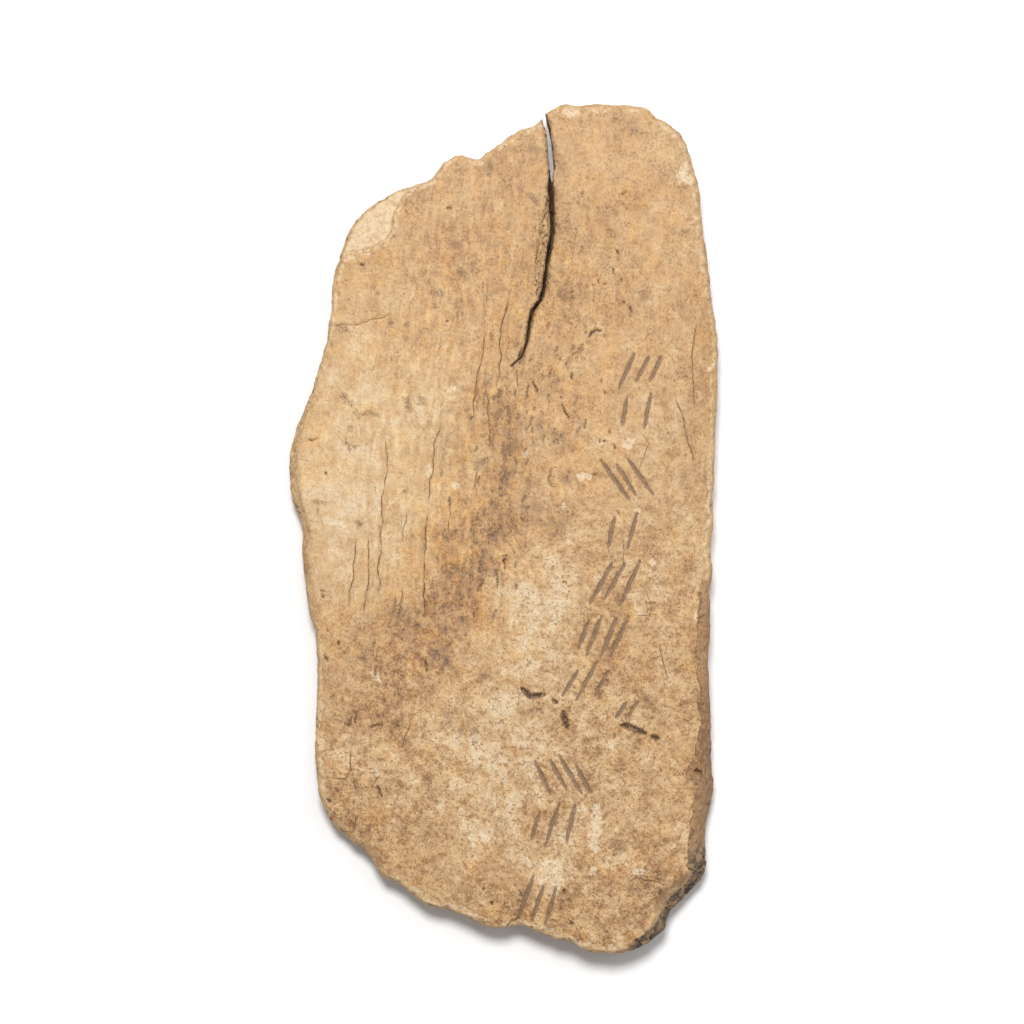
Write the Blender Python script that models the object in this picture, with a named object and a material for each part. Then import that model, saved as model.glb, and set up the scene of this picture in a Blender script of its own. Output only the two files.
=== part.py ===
"""Oracle bone: a fragment of an ox shoulder blade with a carved face, cracks and broken edges.

The fragment lies on its back, which is ground flat at z = 0, with the carved face up. +Y runs
along it to the end that the great crack splits, and +X runs across it to its thick margin.
Sizes and places are in millimetres, and to_metres() turns them into Blender's units.
"""

import math
import random

import bmesh
import bpy
from mathutils import Matrix, Vector, geometry, noise

MM = 0.001

# The bone's own sizes.
LENGTH = 159.8
WIDTH = 80.8
THICKNESS_MIDDLE = 7.6
THICKNESS_ACROSS = 1.5  # how much the thick margin, at +X, gains over the middle
THICKNESS_ALONG = 0.9  # how much the lower end gains over the middle

# The outline, clockwise, in the stretches that each break or natural margin makes.
TOP_BREAK = (
    (8.3, 78.1), (9.9, 79.3), (13.4, 79.8), (20.0, 79.8), (24.6, 79.7), (26.9, 79.2),
    (28.8, 77.7), (30.9, 76.6), (32.9, 74.9), (34.4, 73.0),
)
THICK_MARGIN = (
    (35.6, 69.2), (36.8, 65.4), (37.2, 60.8), (38.3, 52.0), (39.6, 43.0), (40.4, 32.6),
    (40.2, 18.6), (39.6, 5.4), (39.5, -0.4), (39.0, -1.6), (39.4, -6.0), (38.9, -15.2),
    (39.0, -30.2), (39.5, -43.3), (39.5, -50.8), (38.2, -58.0), (38.5, -63.4),
)
LOWER_CORNER = (
    (37.4, -66.1), (33.7, -70.2), (31.1, -73.2), (30.6, -75.3), (28.4, -77.1), (24.0, -79.3),
    (20.5, -79.9),
)
LOWER_BREAK = (
    (16.4, -79.3), (12.7, -77.9), (6.9, -75.9), (4.8, -75.0), (-1.8, -75.0), (-5.7, -73.5),
    (-9.6, -71.8), (-12.3, -71.5), (-17.4, -68.6), (-20.6, -66.3), (-22.4, -65.8),
    (-24.9, -61.6), (-29.0, -58.6), (-32.9, -54.6),
)
THIN_MARGIN = (
    (-34.3, -50.8), (-35.3, -41.5), (-35.0, -30.0), (-35.1, -21.8), (-36.9, -12.8),
    (-37.9, -4.5), (-38.0, 0.8), (-39.4, 4.2), (-40.4, 11.0), (-39.8, 16.7), (-36.9, 24.2),
    (-34.2, 31.7), (-32.5, 40.1), (-32.4, 44.0),
)
UPPER_BREAK = (
    (-31.0, 50.5), (-28.3, 57.4), (-26.2, 59.8), (-20.2, 63.6), (-14.4, 65.5), (-12.3, 67.3),
    (-10.4, 69.6), (-6.1, 70.4), (-4.4, 69.6), (-2.6, 71.4), (3.1, 74.9), (7.3, 76.9),
)
OUTLINE = TOP_BREAK + THICK_MARGIN + LOWER_CORNER + LOWER_BREAK + THIN_MARGIN + UPPER_BREAK
OUTLINE_STEPS = 3  # stretches of the curve from one point to the next
CHIPPING = 0.3  # how far the small chips move the outline in or out
CHIPPING_PITCH = 2.2

# The relief of the carved face.
VALLEY = ((9.5, 40.0), (4.0, 24.0), (0.0, 9.0), (-7.0, -4.0), (-16.0, -19.0), (-29.0, -36.0))
VALLEY_WIDTH = 7.5
VALLEY_DEPTH = 1.0
HUMP = ((13.0, -4.0), (8.5, -13.0), (0.0, -28.0))
HUMP_WIDTH = 9.0
HUMP_HEIGHT = 0.8
PLATEAU = (-16.0, 26.0)  # crest of the broad swell on the thin side
PLATEAU_REACH = 34.0
PLATEAU_HEIGHT = 0.5
EDGE_ROLL = 0.6  # how far the face falls towards its border
EDGE_ROLL_REACH = 5.0
MARGIN_ROUND = 1.0  # how far the thick margin's natural round falls beyond MARGIN_ROUND_X
MARGIN_ROUND_X = 30.0
UNEVENNESS = 0.16
UNEVENNESS_PITCH = 19.0

# The wall: a border on the face, the widest line, a foot and the border of the back.
WORN_EDGE_WIDTH = 0.5
WORN_EDGE_DROP = 0.9
# Where a break slopes in over the face: its middle, its reach along the edge, the direction that
# it slopes from, in degrees from +X, and its extra width and drop.
SLOPING_BREAKS = (
    ((-38.8, 6.0), 17.0, 180.0, 1.5, 1.3),
    ((39.2, -50.0), 18.0, 0.0, 1.7, 3.0),
    ((34.5, -71.0), 10.0, -42.0, 3.2, 2.6),
    ((-29.0, -58.0), 9.0, 225.0, 0.6, 1.0),
    ((-28.0, 57.0), 8.0, 135.0, 0.6, 0.6),
)
FOOT_HEIGHT = 0.38  # share of the height of the widest line
FOOT_INSET = 0.5
BACK_INSET = 1.5
BACK_LIFT = 1.3  # how far the back rises at its border
BACK_LIFT_REACH = 9.0
BORDER_STRIP = 1.6  # between each border and the grid inside it
RAGGEDNESS = 0.6  # how much the insets vary along the wall
RAGGED_PITCH = 3.1
FACE_GRID = (3.3, 4.0)
BACK_GRID = (6.0, 8.0)
SLIVER = 0.3  # the grid's corners that lie closer than this to each other become one

# The great crack: open right through at the top, then a deep furrow that narrows to nothing.
THROUGH_CRACK_LEFT = ((7.1, 79.5), (7.5, 76.6), (8.2, 75.0), (8.3, 71.5), (8.8, 67.6), (9.1, 65.4))
THROUGH_CRACK_RIGHT = ((7.9, 79.5), (8.3, 77.2), (9.0, 75.0), (9.4, 72.0), (9.7, 67.6), (9.5, 65.4))
# Each point is a place and the share of the furrow's greatest width there.
DEEP_CRACK = (
    (9.15, 68.0, 0.55), (9.0, 64.0, 1.0), (9.3, 59.3, 1.0), (9.3, 55.6, 1.0), (8.4, 50.5, 1.0),
    (7.8, 45.5, 0.85), (7.2, 43.0, 0.75), (5.6, 41.0, 0.6), (5.0, 38.5, 0.55), (4.6, 35.2, 0.5),
    (3.6, 32.4, 0.4), (1.6, 30.6, 0.2),
)
DEEP_CRACK_HALF_WIDTH = 0.6
DEEP_CRACK_DEPTH = 4.6
# The broken, spongy lip beside the deep crack.
CRACK_LIP = (
    (8.6, 62.0, 0.3), (8.3, 58.0, 0.9), (8.1, 53.5, 1.0), (7.2, 48.0, 0.9), (7.0, 43.4, 0.3),
)
CRACK_LIP_HALF_WIDTH = 1.4
CRACK_LIP_DEPTH = 1.3

# The flake lost from the upper break, as the line where it left the face, and a way round outside.
FLAKE_BORDER = (
    (-15.6, 67.0), (-17.0, 64.6), (-19.0, 62.1), (-20.6, 58.6), (-20.8, 56.4), (-22.2, 54.2),
    (-25.4, 53.0), (-26.6, 51.8), (-30.0, 51.5), (-33.5, 50.0),
)
FLAKE_OUTSIDE = ((-34.0, 60.0), (-24.0, 68.0))
FLAKE_STEP = 0.5
FLAKE_SLOPE = 0.16  # further fall for each millimetre out from the border

# The carved strokes stand in columns: a column's head, its foot, its width, and its rows from
# the head, each with its number of strokes and how far they lean, in degrees.
STROKE_COLUMNS = (
    ((26.8, 34.4), (24.4, 17.2), 8.4, ((3, 28.0), (2, 12.0))),
    ((24.0, 14.6), (20.6, -14.8), 7.8, ((3, -34.0), (2, 14.0), (3, 27.0))),
    ((20.0, -15.6), (14.2, -33.6), 8.8, ((4, 21.0), (3, 30.0))),
    ((24.4, -30.8), (22.6, -36.2), 4.4, ((2, 32.0),)),
    ((12.6, -42.2), (8.4, -59.8), 10.0, ((4, -28.0), (3, 17.0))),
    ((7.8, -64.6), (5.4, -75.6), 8.2, ((3, 18.0),)),
)
STROKE_SEED = 7
STROKE_FILL = (0.6, 0.98)  # least and greatest share of its row's height that a stroke takes
STROKE_STRAY_ACROSS = 0.3  # how far each stroke may stray from its even place in the row
STROKE_STRAY_ALONG = 0.6
STROKE_STRAY_LEAN = 4.0
STROKE_HALF_WIDTH = 0.42
STROKE_DEPTH = 0.42
# Along a stroke from its head to its tail, and its share of the width there.
STROKE_TAPER = ((0.0, 0.4), (0.14, 1.0), (0.84, 0.85), (1.0, 0.25))

# Scorched pits in the face, each a path with the share of PIT_HALF_WIDTH at each point.
PITS = (
    ((3.5, -29.8, 0.4), (3.9, -30.3, 0.9), (5.2, -31.4, 0.8), (7.6, -31.1, 0.7), (8.0, -30.9, 0.3)),
    ((9.3, -32.1, 0.3), (9.8, -32.3, 0.7), (10.4, -32.7, 0.4)),
    ((11.3, -34.0, 0.4), (11.5, -34.7, 0.9), (11.8, -36.2, 1.0), (12.4, -37.6, 0.5)),
    ((22.0, -36.8, 0.4), (23.4, -36.9, 0.8), (25.6, -37.8, 1.1), (27.0, -38.4, 0.6)),
    ((27.9, -38.8, 0.5), (28.6, -39.1, 0.9), (29.6, -39.5, 0.5)),
    ((36.0, -45.2, 0.6), (36.9, -45.9, 1.2), (38.0, -46.9, 0.8), (39.8, -48.4, 0.5)),
)
PIT_HALF_WIDTH = 0.6
PIT_DEPTH = 0.9

# The hollows that the diviner cut in the back, in pairs: a long one and a round one beside it.
HOLLOW_X = 16.5
HOLLOW_FIRST_Y = 36.0
HOLLOW_PITCH = -25.0
HOLLOW_COUNT = 4
LONG_HOLLOW = (5.6, 13.5, 3.0)  # width, length, depth
ROUND_HOLLOW = (7.4, 7.4, 1.9)
ROUND_HOLLOW_OFFSET = -4.4
HOLLOW_SEGMENTS = 14
HOLLOW_RINGS = 8

BONE_COLOUR = (0.61, 0.40, 0.21, 1.0)
BONE_ROUGHNESS = 0.62

# Modelling tolerances.
WELD = 0.001
SNAP = 0.05  # a cut this close to a corner goes through it
LEVEL_TOLERANCE = 0.1
THIN = 0.01
CAP_NORMAL = 0.9  # least upward or downward share of the normal of a face or a back
WALL_NORMAL = 0.5  # greatest such share of a wall's normal
CUT_BELOW = 3.0  # how far a prism that cuts right through stands out under the back
CUT_ABOVE = 5.0  # and over the face


def to_metres(*place):
    """A point or a vector given in millimetres, in metres."""
    return Vector(place) * MM


def ease(share):
    """Runs smoothly from 0 to 1 as share does, and stays there outside."""
    share = min(max(share, 0.0), 1.0)
    return share * share * (3.0 - 2.0 * share)


def bell(distance, width):
    """Runs from 1 at no distance down to about 0 beyond twice the width."""
    return math.exp(-((distance / width) ** 2))


def distance_to_path(place, path, closed=False):
    """Shortest distance in the plane from a place to a path of points."""
    ends = path[1:] + path[:1] if closed else path[1:]
    nearest = math.inf
    for start, end in zip(path, ends):
        start, end = Vector(start[:2]), Vector(end[:2])
        foot, share = geometry.intersect_point_line(place, start, end)
        foot = start.lerp(end, min(max(share, 0.0), 1.0))
        nearest = min(nearest, (place - foot.to_2d()).length)
    return nearest


def edge_share(place, reach):
    """Runs from 1 at the outline to 0 as far in as reach."""
    return 1.0 - ease(distance_to_path(place, OUTLINE, closed=True) / reach)


def face_height(place):
    """Height of the carved face over the flat back."""
    x, y = place
    height = THICKNESS_MIDDLE
    height += THICKNESS_ACROSS * x / (WIDTH / 2)
    height -= THICKNESS_ALONG * y / (LENGTH / 2)
    height -= VALLEY_DEPTH * bell(distance_to_path(place, VALLEY), VALLEY_WIDTH)
    height += HUMP_HEIGHT * bell(distance_to_path(place, HUMP), HUMP_WIDTH)
    height += PLATEAU_HEIGHT * bell((place - Vector(PLATEAU)).length, PLATEAU_REACH)
    height += UNEVENNESS * noise.noise(place.to_3d() / UNEVENNESS_PITCH)
    height -= MARGIN_ROUND * ease((x - MARGIN_ROUND_X) / (WIDTH / 2 - MARGIN_ROUND_X))
    height -= EDGE_ROLL * edge_share(place, EDGE_ROLL_REACH)
    return height


def break_slope(place):
    """How far the sloping breaks move the face's border in at a place, and how far they drop."""
    move = Vector((0.0, 0.0))
    drop = 0.0
    for middle, reach, heading, width, break_drop in SLOPING_BREAKS:
        share = bell((place - Vector(middle)).length, reach)
        angle = math.radians(heading)
        move -= Vector((math.cos(angle), math.sin(angle))) * width * share
        drop += break_drop * share
    return move, drop


def shrunk(place, inset):
    """A place on the outline, moved in as the whole outline shrinks by an inset on each side."""
    return Vector((place.x * (1.0 - 2 * inset / WIDTH), place.y * (1.0 - 2 * inset / LENGTH)))


def mesh_from_curve(curve, collection):
    """A new object with the welded mesh of a curve, which is then removed."""
    drawn = bpy.data.objects.new(curve.name, curve)
    collection.objects.link(drawn)
    evaluated = drawn.evaluated_get(bpy.context.evaluated_depsgraph_get())
    mesh = bpy.data.meshes.new_from_object(evaluated)
    name = curve.name
    bpy.data.objects.remove(drawn)
    bpy.data.curves.remove(curve)
    bm = bmesh.new()
    bm.from_mesh(mesh)
    bmesh.ops.remove_doubles(bm, verts=bm.verts, dist=WELD * MM)
    bmesh.ops.recalc_face_normals(bm, faces=bm.faces)
    bm.to_mesh(mesh)
    bm.free()
    mesh.name = name
    made = bpy.data.objects.new(name, mesh)
    collection.objects.link(made)
    return made


def outline_slab(collection):
    """The bone's outline as a flat slab from z = 0 up to its middle thickness."""
    curve = bpy.data.curves.new("bone", "CURVE")
    curve.dimensions = "2D"
    curve.fill_mode = "BOTH"
    curve.extrude = THICKNESS_MIDDLE / 2 * MM
    curve.resolution_u = OUTLINE_STEPS
    spline = curve.splines.new("BEZIER")
    spline.bezier_points.add(len(OUTLINE) - 1)
    spline.use_cyclic_u = True
    for point, (x, y) in zip(spline.bezier_points, OUTLINE):
        point.co = to_metres(x, y, 0.0)
        point.handle_left_type = "AUTO"
        point.handle_right_type = "AUTO"
    slab = mesh_from_curve(curve, collection)
    slab.data.transform(Matrix.Translation(to_metres(0.0, 0.0, THICKNESS_MIDDLE / 2)))
    return slab


def outward(vert):
    """The direction straight out of the wall at one of its vertices."""
    walls = [face.normal for face in vert.link_faces if abs(face.normal.z) < WALL_NORMAL]
    return sum(walls, Vector()).normalized()


def chip_outline(bm):
    """Lets small chips bite into the wall, the same at every height."""
    for vert in bm.verts:
        place = Vector((vert.co.x, vert.co.y, 0.0)) / (CHIPPING_PITCH * MM)
        vert.co += outward(vert) * CHIPPING * MM * noise.noise(place)


def cut_grid(bm, marked, side, spacing):
    """Cuts the faces marked with a side with a grid of upright planes."""
    for axis, (size, step) in enumerate(zip((WIDTH, LENGTH), spacing)):
        direction = Vector((1.0 - axis, float(axis), 0.0))
        count = int(size / step / 2)
        for line in range(-count, count + 1):
            faces = [face for face in bm.faces if face[marked] == side]
            edges = {edge for face in faces for edge in face.edges}
            verts = {vert for face in faces for vert in face.verts}
            bmesh.ops.bisect_plane(
                bm,
                geom=faces + list(edges) + list(verts),
                dist=SNAP * MM,
                plane_co=direction * line * step * MM,
                plane_no=direction,
            )


def shape_bone(bone):
    """Gives the slab its wall, its relief, its worn edges and its back."""
    bm = bmesh.new()
    bm.from_mesh(bone.data)
    top = THICKNESS_MIDDLE * MM
    for side in (1, -1):
        caps = [face for face in bm.faces if face.normal.z * side > CAP_NORMAL]
        bmesh.ops.dissolve_faces(bm, faces=caps)
    bm.normal_update()
    chip_outline(bm)
    bm.normal_update()

    # Two rings round the wall, between the border of the face and the border of the back.
    levels = (0.0, top / 3, 2 * top / 3, top)
    for level in levels[1:3]:
        everything = bm.verts[:] + bm.edges[:] + bm.faces[:]
        bmesh.ops.bisect_plane(bm, geom=everything, plane_co=(0, 0, level), plane_no=(0, 0, 1))
    bm.normal_update()
    rings = [
        [vert for vert in bm.verts if abs(vert.co.z - level) < LEVEL_TOLERANCE * MM]
        for level in levels
    ]
    for ring, inset in zip(rings, (BACK_INSET, FOOT_INSET, 0.0, WORN_EDGE_WIDTH)):
        for vert in ring:
            place = vert.co.to_2d() / MM
            if inset:
                inset_here = inset * (1.0 + RAGGEDNESS * noise.noise(vert.co / (RAGGED_PITCH * MM)))
                place = shrunk(place, inset_here)
            if ring is rings[-1]:
                place += break_slope(place)[0]
            vert.co.xy = place * MM

    # A strip inside each border carries the worn edge, and a grid inside it carries the relief.
    marked = bm.faces.layers.int.new("side_of_grid")
    for side, spacing in ((1, FACE_GRID), (-1, BACK_GRID)):
        bm.normal_update()
        cap = [face for face in bm.faces if face.normal.z * side > CAP_NORMAL]
        cap[0][marked] = side
        strip = bmesh.ops.inset_region(bm, faces=cap, thickness=THIN * MM)["faces"]
        for face in strip:
            face[marked] = 0
        for vert in cap[0].verts:
            vert.co.xy = shrunk(vert.co.to_2d(), BORDER_STRIP)
        cut_grid(bm, marked, side, spacing)
        inner = {vert for face in bm.faces if face[marked] == side for vert in face.verts}
        bmesh.ops.remove_doubles(bm, verts=list(inner), dist=SLIVER * MM)
    bmesh.ops.dissolve_degenerate(bm, edges=bm.edges, dist=THIN * MM)

    for vert in bm.verts:
        set_height(vert, levels)
    bmesh.ops.triangulate(bm, faces=bm.faces, quad_method="SHORT_EDGE", ngon_method="BEAUTY")
    bmesh.ops.recalc_face_normals(bm, faces=bm.faces)
    bm.to_mesh(bone.data)
    bm.free()


def set_height(vert, levels):
    """Moves one vertex of the slab up or down to the bone's true surface."""
    place = vert.co.to_2d() / MM
    height = face_height(place)
    shoulder = height - WORN_EDGE_DROP - break_slope(place)[1]
    lift = BACK_LIFT * edge_share(place, BACK_LIFT_REACH)
    ring = min(range(4), key=lambda index: abs(levels[index] - vert.co.z))
    vert.co.z = (lift, shoulder * FOOT_HEIGHT, shoulder, height)[ring] * MM


def groove_cutter(name, paths, half_width, depth, collection):
    """Furrows along paths on the face: each is a diamond rod draped over it, half sunk in."""
    curve = bpy.data.curves.new(name, "CURVE")
    curve.dimensions = "3D"
    curve.twist_mode = "Z_UP"
    curve.bevel_depth = half_width * MM
    curve.bevel_resolution = 0
    curve.use_fill_caps = True
    for path in paths:
        spline = curve.splines.new("POLY")
        spline.points.add(len(path) - 1)
        for point, (x, y, share) in zip(spline.points, path):
            point.co = (*to_metres(x, y, 0.0), 1.0)
            point.radius = share
    cutter = mesh_from_curve(curve, collection)
    for vert in cutter.data.vertices:
        surface = face_height(vert.co.to_2d() / MM) * MM
        vert.co.z = surface + vert.co.z * depth / half_width
    return cutter


def prism_cutter(name, outline, bottom, top, collection):
    """A prism on an outline of points, from one height to another."""
    curve = bpy.data.curves.new(name, "CURVE")
    curve.dimensions = "2D"
    curve.fill_mode = "BOTH"
    curve.extrude = (top - bottom) / 2 * MM
    spline = curve.splines.new("POLY")
    spline.points.add(len(outline) - 1)
    spline.use_cyclic_u = True
    for point, (x, y) in zip(spline.points, outline):
        point.co = (*to_metres(x, y, 0.0), 1.0)
    cutter = mesh_from_curve(curve, collection)
    for vert in cutter.data.vertices:
        vert.co.z += (top + bottom) / 2 * MM
    return cutter


def flake_cutter(collection):
    """The flake lost at the upper break: a step at its border, then a slope out to the edge."""
    top = THICKNESS_MIDDLE + CUT_ABOVE
    cutter = prism_cutter("flake", FLAKE_BORDER + FLAKE_OUTSIDE, 0.0, top, collection)
    for vert in cutter.data.vertices:
        if vert.co.z < top / 2 * MM:
            place = vert.co.to_2d() / MM
            fall = FLAKE_STEP + FLAKE_SLOPE * distance_to_path(place, FLAKE_BORDER)
            vert.co.z = (face_height(place) - fall) * MM
    return cutter


def stroke_paths():
    """The carved strokes: separate, leaning strokes, side by side in rows, each row its own lean."""
    chance = random.Random(STROKE_SEED)
    paths = []
    for head, foot, width, rows in STROKE_COLUMNS:
        row_height = (head[1] - foot[1]) / len(rows)
        for row, (strokes, lean) in enumerate(rows):
            row_middle = Vector(head).lerp(Vector(foot), (row + 0.5) / len(rows))
            for stroke in range(strokes):
                across = chance.uniform(-STROKE_STRAY_ACROSS, STROKE_STRAY_ACROSS)
                across += width * ((stroke + 0.5) / strokes - 0.5)
                along = chance.uniform(-STROKE_STRAY_ALONG, STROKE_STRAY_ALONG)
                length = row_height * chance.uniform(*STROKE_FILL)
                stray = chance.uniform(-STROKE_STRAY_LEAN, STROKE_STRAY_LEAN)
                angle = math.radians(lean + stray)
                middle = row_middle + Vector((across, along))
                paths.append(stroke_path(middle.x, middle.y, length, angle))
    return paths


def stroke_path(x, y, length, angle):
    """One stroke with its middle at (x, y), leaning by angle from the bone's length."""
    path = []
    for along, share in STROKE_TAPER:
        rise = length * (0.5 - along)
        path.append((x + rise * math.sin(angle), y + rise * math.cos(angle), share))
    return tuple(path)


def hollow_cutter(name, x, y, size, collection):
    """One hollow of the back: an ellipsoid with its middle on the back's plane."""
    width, length, depth = size
    mesh = bpy.data.meshes.new(name)
    bm = bmesh.new()
    bmesh.ops.create_uvsphere(bm, u_segments=HOLLOW_SEGMENTS, v_segments=HOLLOW_RINGS, radius=1.0)
    bmesh.ops.scale(bm, verts=bm.verts, vec=to_metres(width / 2, length / 2, depth))
    bmesh.ops.translate(bm, verts=bm.verts, vec=to_metres(x, y, 0.0))
    bm.to_mesh(mesh)
    bm.free()
    cutter = bpy.data.objects.new(name, mesh)
    collection.objects.link(cutter)
    return cutter


def hollow_cutters(collection):
    """All the hollows, one pair after another along the bone."""
    cutters = []
    for index in range(HOLLOW_COUNT):
        y = HOLLOW_FIRST_Y + HOLLOW_PITCH * index
        beside = HOLLOW_X + ROUND_HOLLOW_OFFSET
        cutters.append(hollow_cutter(f"long_hollow_{index}", HOLLOW_X, y, LONG_HOLLOW, collection))
        cutters.append(hollow_cutter(f"round_hollow_{index}", beside, y, ROUND_HOLLOW, collection))
    return cutters


def cut(bone, cutter):
    """Cuts a cutter's shape out of the bone."""
    cutter.hide_render = True
    cutter.display_type = "WIRE"
    difference = bone.modifiers.new(cutter.name, "BOOLEAN")
    difference.operation = "DIFFERENCE"
    difference.solver = "EXACT"
    difference.object = cutter


def bone_material():
    """The warm tan of old buried bone."""
    material = bpy.data.materials.new("old_bone")
    material.use_nodes = True
    shader = material.node_tree.nodes["Principled BSDF"]
    shader.inputs["Base Color"].default_value = BONE_COLOUR
    shader.inputs["Roughness"].default_value = BONE_ROUGHNESS
    shader.inputs["Metallic"].default_value = 0.0
    return material


def new_collection(name):
    collection = bpy.data.collections.new(name)
    bpy.context.scene.collection.children.link(collection)
    return collection


def main():
    for leftover in list(bpy.data.objects):
        bpy.data.objects.remove(leftover)
    parts = new_collection("oracle_bone")
    cutters = new_collection("cutters")

    bone = outline_slab(parts)
    shape_bone(bone)
    bone.data.materials.append(bone_material())

    through = THROUGH_CRACK_LEFT + THROUGH_CRACK_RIGHT[::-1]
    top = THICKNESS_MIDDLE + CUT_ABOVE
    cut(bone, prism_cutter("through_crack", through, -CUT_BELOW, top, cutters))
    for name, paths, half_width, depth in (
        ("deep_crack", (DEEP_CRACK,), DEEP_CRACK_HALF_WIDTH, DEEP_CRACK_DEPTH),
        ("crack_lip", (CRACK_LIP,), CRACK_LIP_HALF_WIDTH, CRACK_LIP_DEPTH),
        ("strokes", stroke_paths(), STROKE_HALF_WIDTH, STROKE_DEPTH),
        ("pits", PITS, PIT_HALF_WIDTH, PIT_DEPTH),
    ):
        cut(bone, groove_cutter(name, paths, half_width, depth, cutters))
    cut(bone, flake_cutter(cutters))
    for hollow in hollow_cutters(cutters):
        cut(bone, hollow)


main()
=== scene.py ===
"""Oracle bone: the weathered surface of the fragment, on a pale studio floor.

The bone's lengths and places are in millimetres, in the frame's own axes, and MM turns them into
metres. The stage is in metres. The bone lies on its back with its carved face up, +Y runs along it
and +X points to its thick margin.
"""

import functools
import math
import random

import bmesh
import bpy
import numpy as np
from bpy.props import FloatProperty, FloatVectorProperty, PointerProperty
from mathutils import Matrix, Vector, kdtree, noise


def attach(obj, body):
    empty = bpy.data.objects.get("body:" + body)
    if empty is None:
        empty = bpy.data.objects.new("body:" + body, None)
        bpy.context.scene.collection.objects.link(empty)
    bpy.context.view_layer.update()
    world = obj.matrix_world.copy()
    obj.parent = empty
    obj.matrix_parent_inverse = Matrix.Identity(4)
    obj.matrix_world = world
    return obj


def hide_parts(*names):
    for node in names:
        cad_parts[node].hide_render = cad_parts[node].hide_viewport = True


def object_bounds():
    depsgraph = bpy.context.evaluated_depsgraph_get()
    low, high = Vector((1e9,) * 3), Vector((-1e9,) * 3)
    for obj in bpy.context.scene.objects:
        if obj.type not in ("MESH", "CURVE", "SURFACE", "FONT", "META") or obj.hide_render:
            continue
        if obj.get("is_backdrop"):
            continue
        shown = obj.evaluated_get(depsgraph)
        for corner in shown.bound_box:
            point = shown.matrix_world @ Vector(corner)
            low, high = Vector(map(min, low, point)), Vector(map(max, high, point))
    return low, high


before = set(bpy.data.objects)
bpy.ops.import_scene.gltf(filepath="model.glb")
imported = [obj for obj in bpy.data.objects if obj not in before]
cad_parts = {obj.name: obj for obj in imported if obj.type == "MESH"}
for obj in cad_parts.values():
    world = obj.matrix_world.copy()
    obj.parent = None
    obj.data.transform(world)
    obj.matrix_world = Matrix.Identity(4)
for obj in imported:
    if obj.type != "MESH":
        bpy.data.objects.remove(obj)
frame_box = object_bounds()

bl_info = {
    "name": "Oracle Bone",
    "version": (1, 0, 0),
    "blender": (4, 5, 0),
    "location": "View3D > Sidebar > Oracle Bone",
    "description": "Weathers the surface of a carved oracle bone and sets it on a studio floor",
    "category": "Object",
}

MM = 0.001

# ------------------------------------------------------------------------------------------------
# What marks the carved face.

# Marks on the carved face, each with its half width and the points that it runs through.
# Cracks are the finest: weathering has opened them along the grain.
CRACKS = (
    (0.16, ((1.3, 43.5), (0.1, 39.2), (-0.5, 34.3), (-0.3, 31.9), (-0.8, 28.3), (-1.2, 26.3))),
    (0.14, ((-3.3, 36.8), (-3.8, 31.9), (-4.6, 28.9), (-5.2, 25.3), (-5.5, 20.6))),
    (0.10, ((-2.9, 26.3), (-2.7, 21.8), (-2.3, 18.2), (-2.5, 15.2))),
    (0.13, ((-11.5, 19.7), (-12.7, 15.8), (-12.9, 11.6), (-13.6, 9.2), (-13.8, 4.5))),
    (0.15, ((-13.8, 4.5), (-14.4, 0.6), (-14.5, -3.9), (-14.7, -8.8), (-14.7, -17.1))),
    (0.11, ((-21.9, 16.7), (-21.7, 12.6), (-21.5, 11.1), (-22.2, 8.8), (-22.2, 7.5))),
    (0.18, ((-22.2, 7.5), (-22.8, 4.5), (-22.4, 1.5), (-23.0, -1.5), (-22.8, -3.6))),
    (0.20, ((-22.8, -3.6), (-23.2, -6.6), (-23.2, -12.4))),
    (0.13, ((-27.5, -2.1), (-27.9, -5.4), (-28.1, -9.6), (-28.6, -11.3), (-28.8, -14.6))),
    (0.14, ((-25.0, -1.3), (-25.2, -5.1), (-25.1, -9.6), (-25.8, -13.7), (-26.4, -16.3))),
    (0.09, ((-17.9, 3.0), (-18.7, -0.9), (-18.5, -2.8))),
    (0.09, ((-9.7, 6.2), (-10.0, 2.1), (-10.0, -0.4))),
    (0.10, ((-4.8, 11.1), (-5.3, 7.5))),
    (0.09, ((2.5, 30.2), (2.9, 26.3))),
    (0.10, ((-18.7, -11.3), (-18.9, -13.7), (-19.6, -14.8))),
    (0.13, ((-17.2, -36.2), (-18.5, -39.4), (-18.9, -41.3))),
    (0.16, ((-28.4, -41.5), (-28.6, -45.4), (-29.5, -46.9), (-32.4, -47.1))),
    (0.14, ((-27.3, -53.8), (-28.6, -57.4))),
    (0.13, ((36.5, 38.8), (35.6, 31.7), (35.9, 27.4), (36.1, 22.7))),
    (0.15, ((32.4, 25.0), (33.9, 20.6), (34.8, 16.5), (35.7, 13.9), (36.1, 12.0))),
    (0.10, ((29.4, -21.2), (29.7, -23.3), (31.2, -28.3))),
    (0.12, ((38.9, -15.4), (37.2, -16.9))),
    (0.08, ((-32.7, 38.3), (-26.7, 38.5), (-21.1, 40.3))),
    (0.11, ((23.2, -66.2), (25.8, -65.5), (30.7, -66.6))),
    (0.09, ((26.2, 17.8), (27.5, 16.1), (26.4, 13.3), (25.6, 11.3))),
    (0.08, ((22.6, -1.9), (22.8, -3.9), (22.6, -6.9))),
    (0.08, ((26.5, -11.1), (28.0, -14.4), (27.5, -16.1), (25.0, -16.1))),
)

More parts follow.
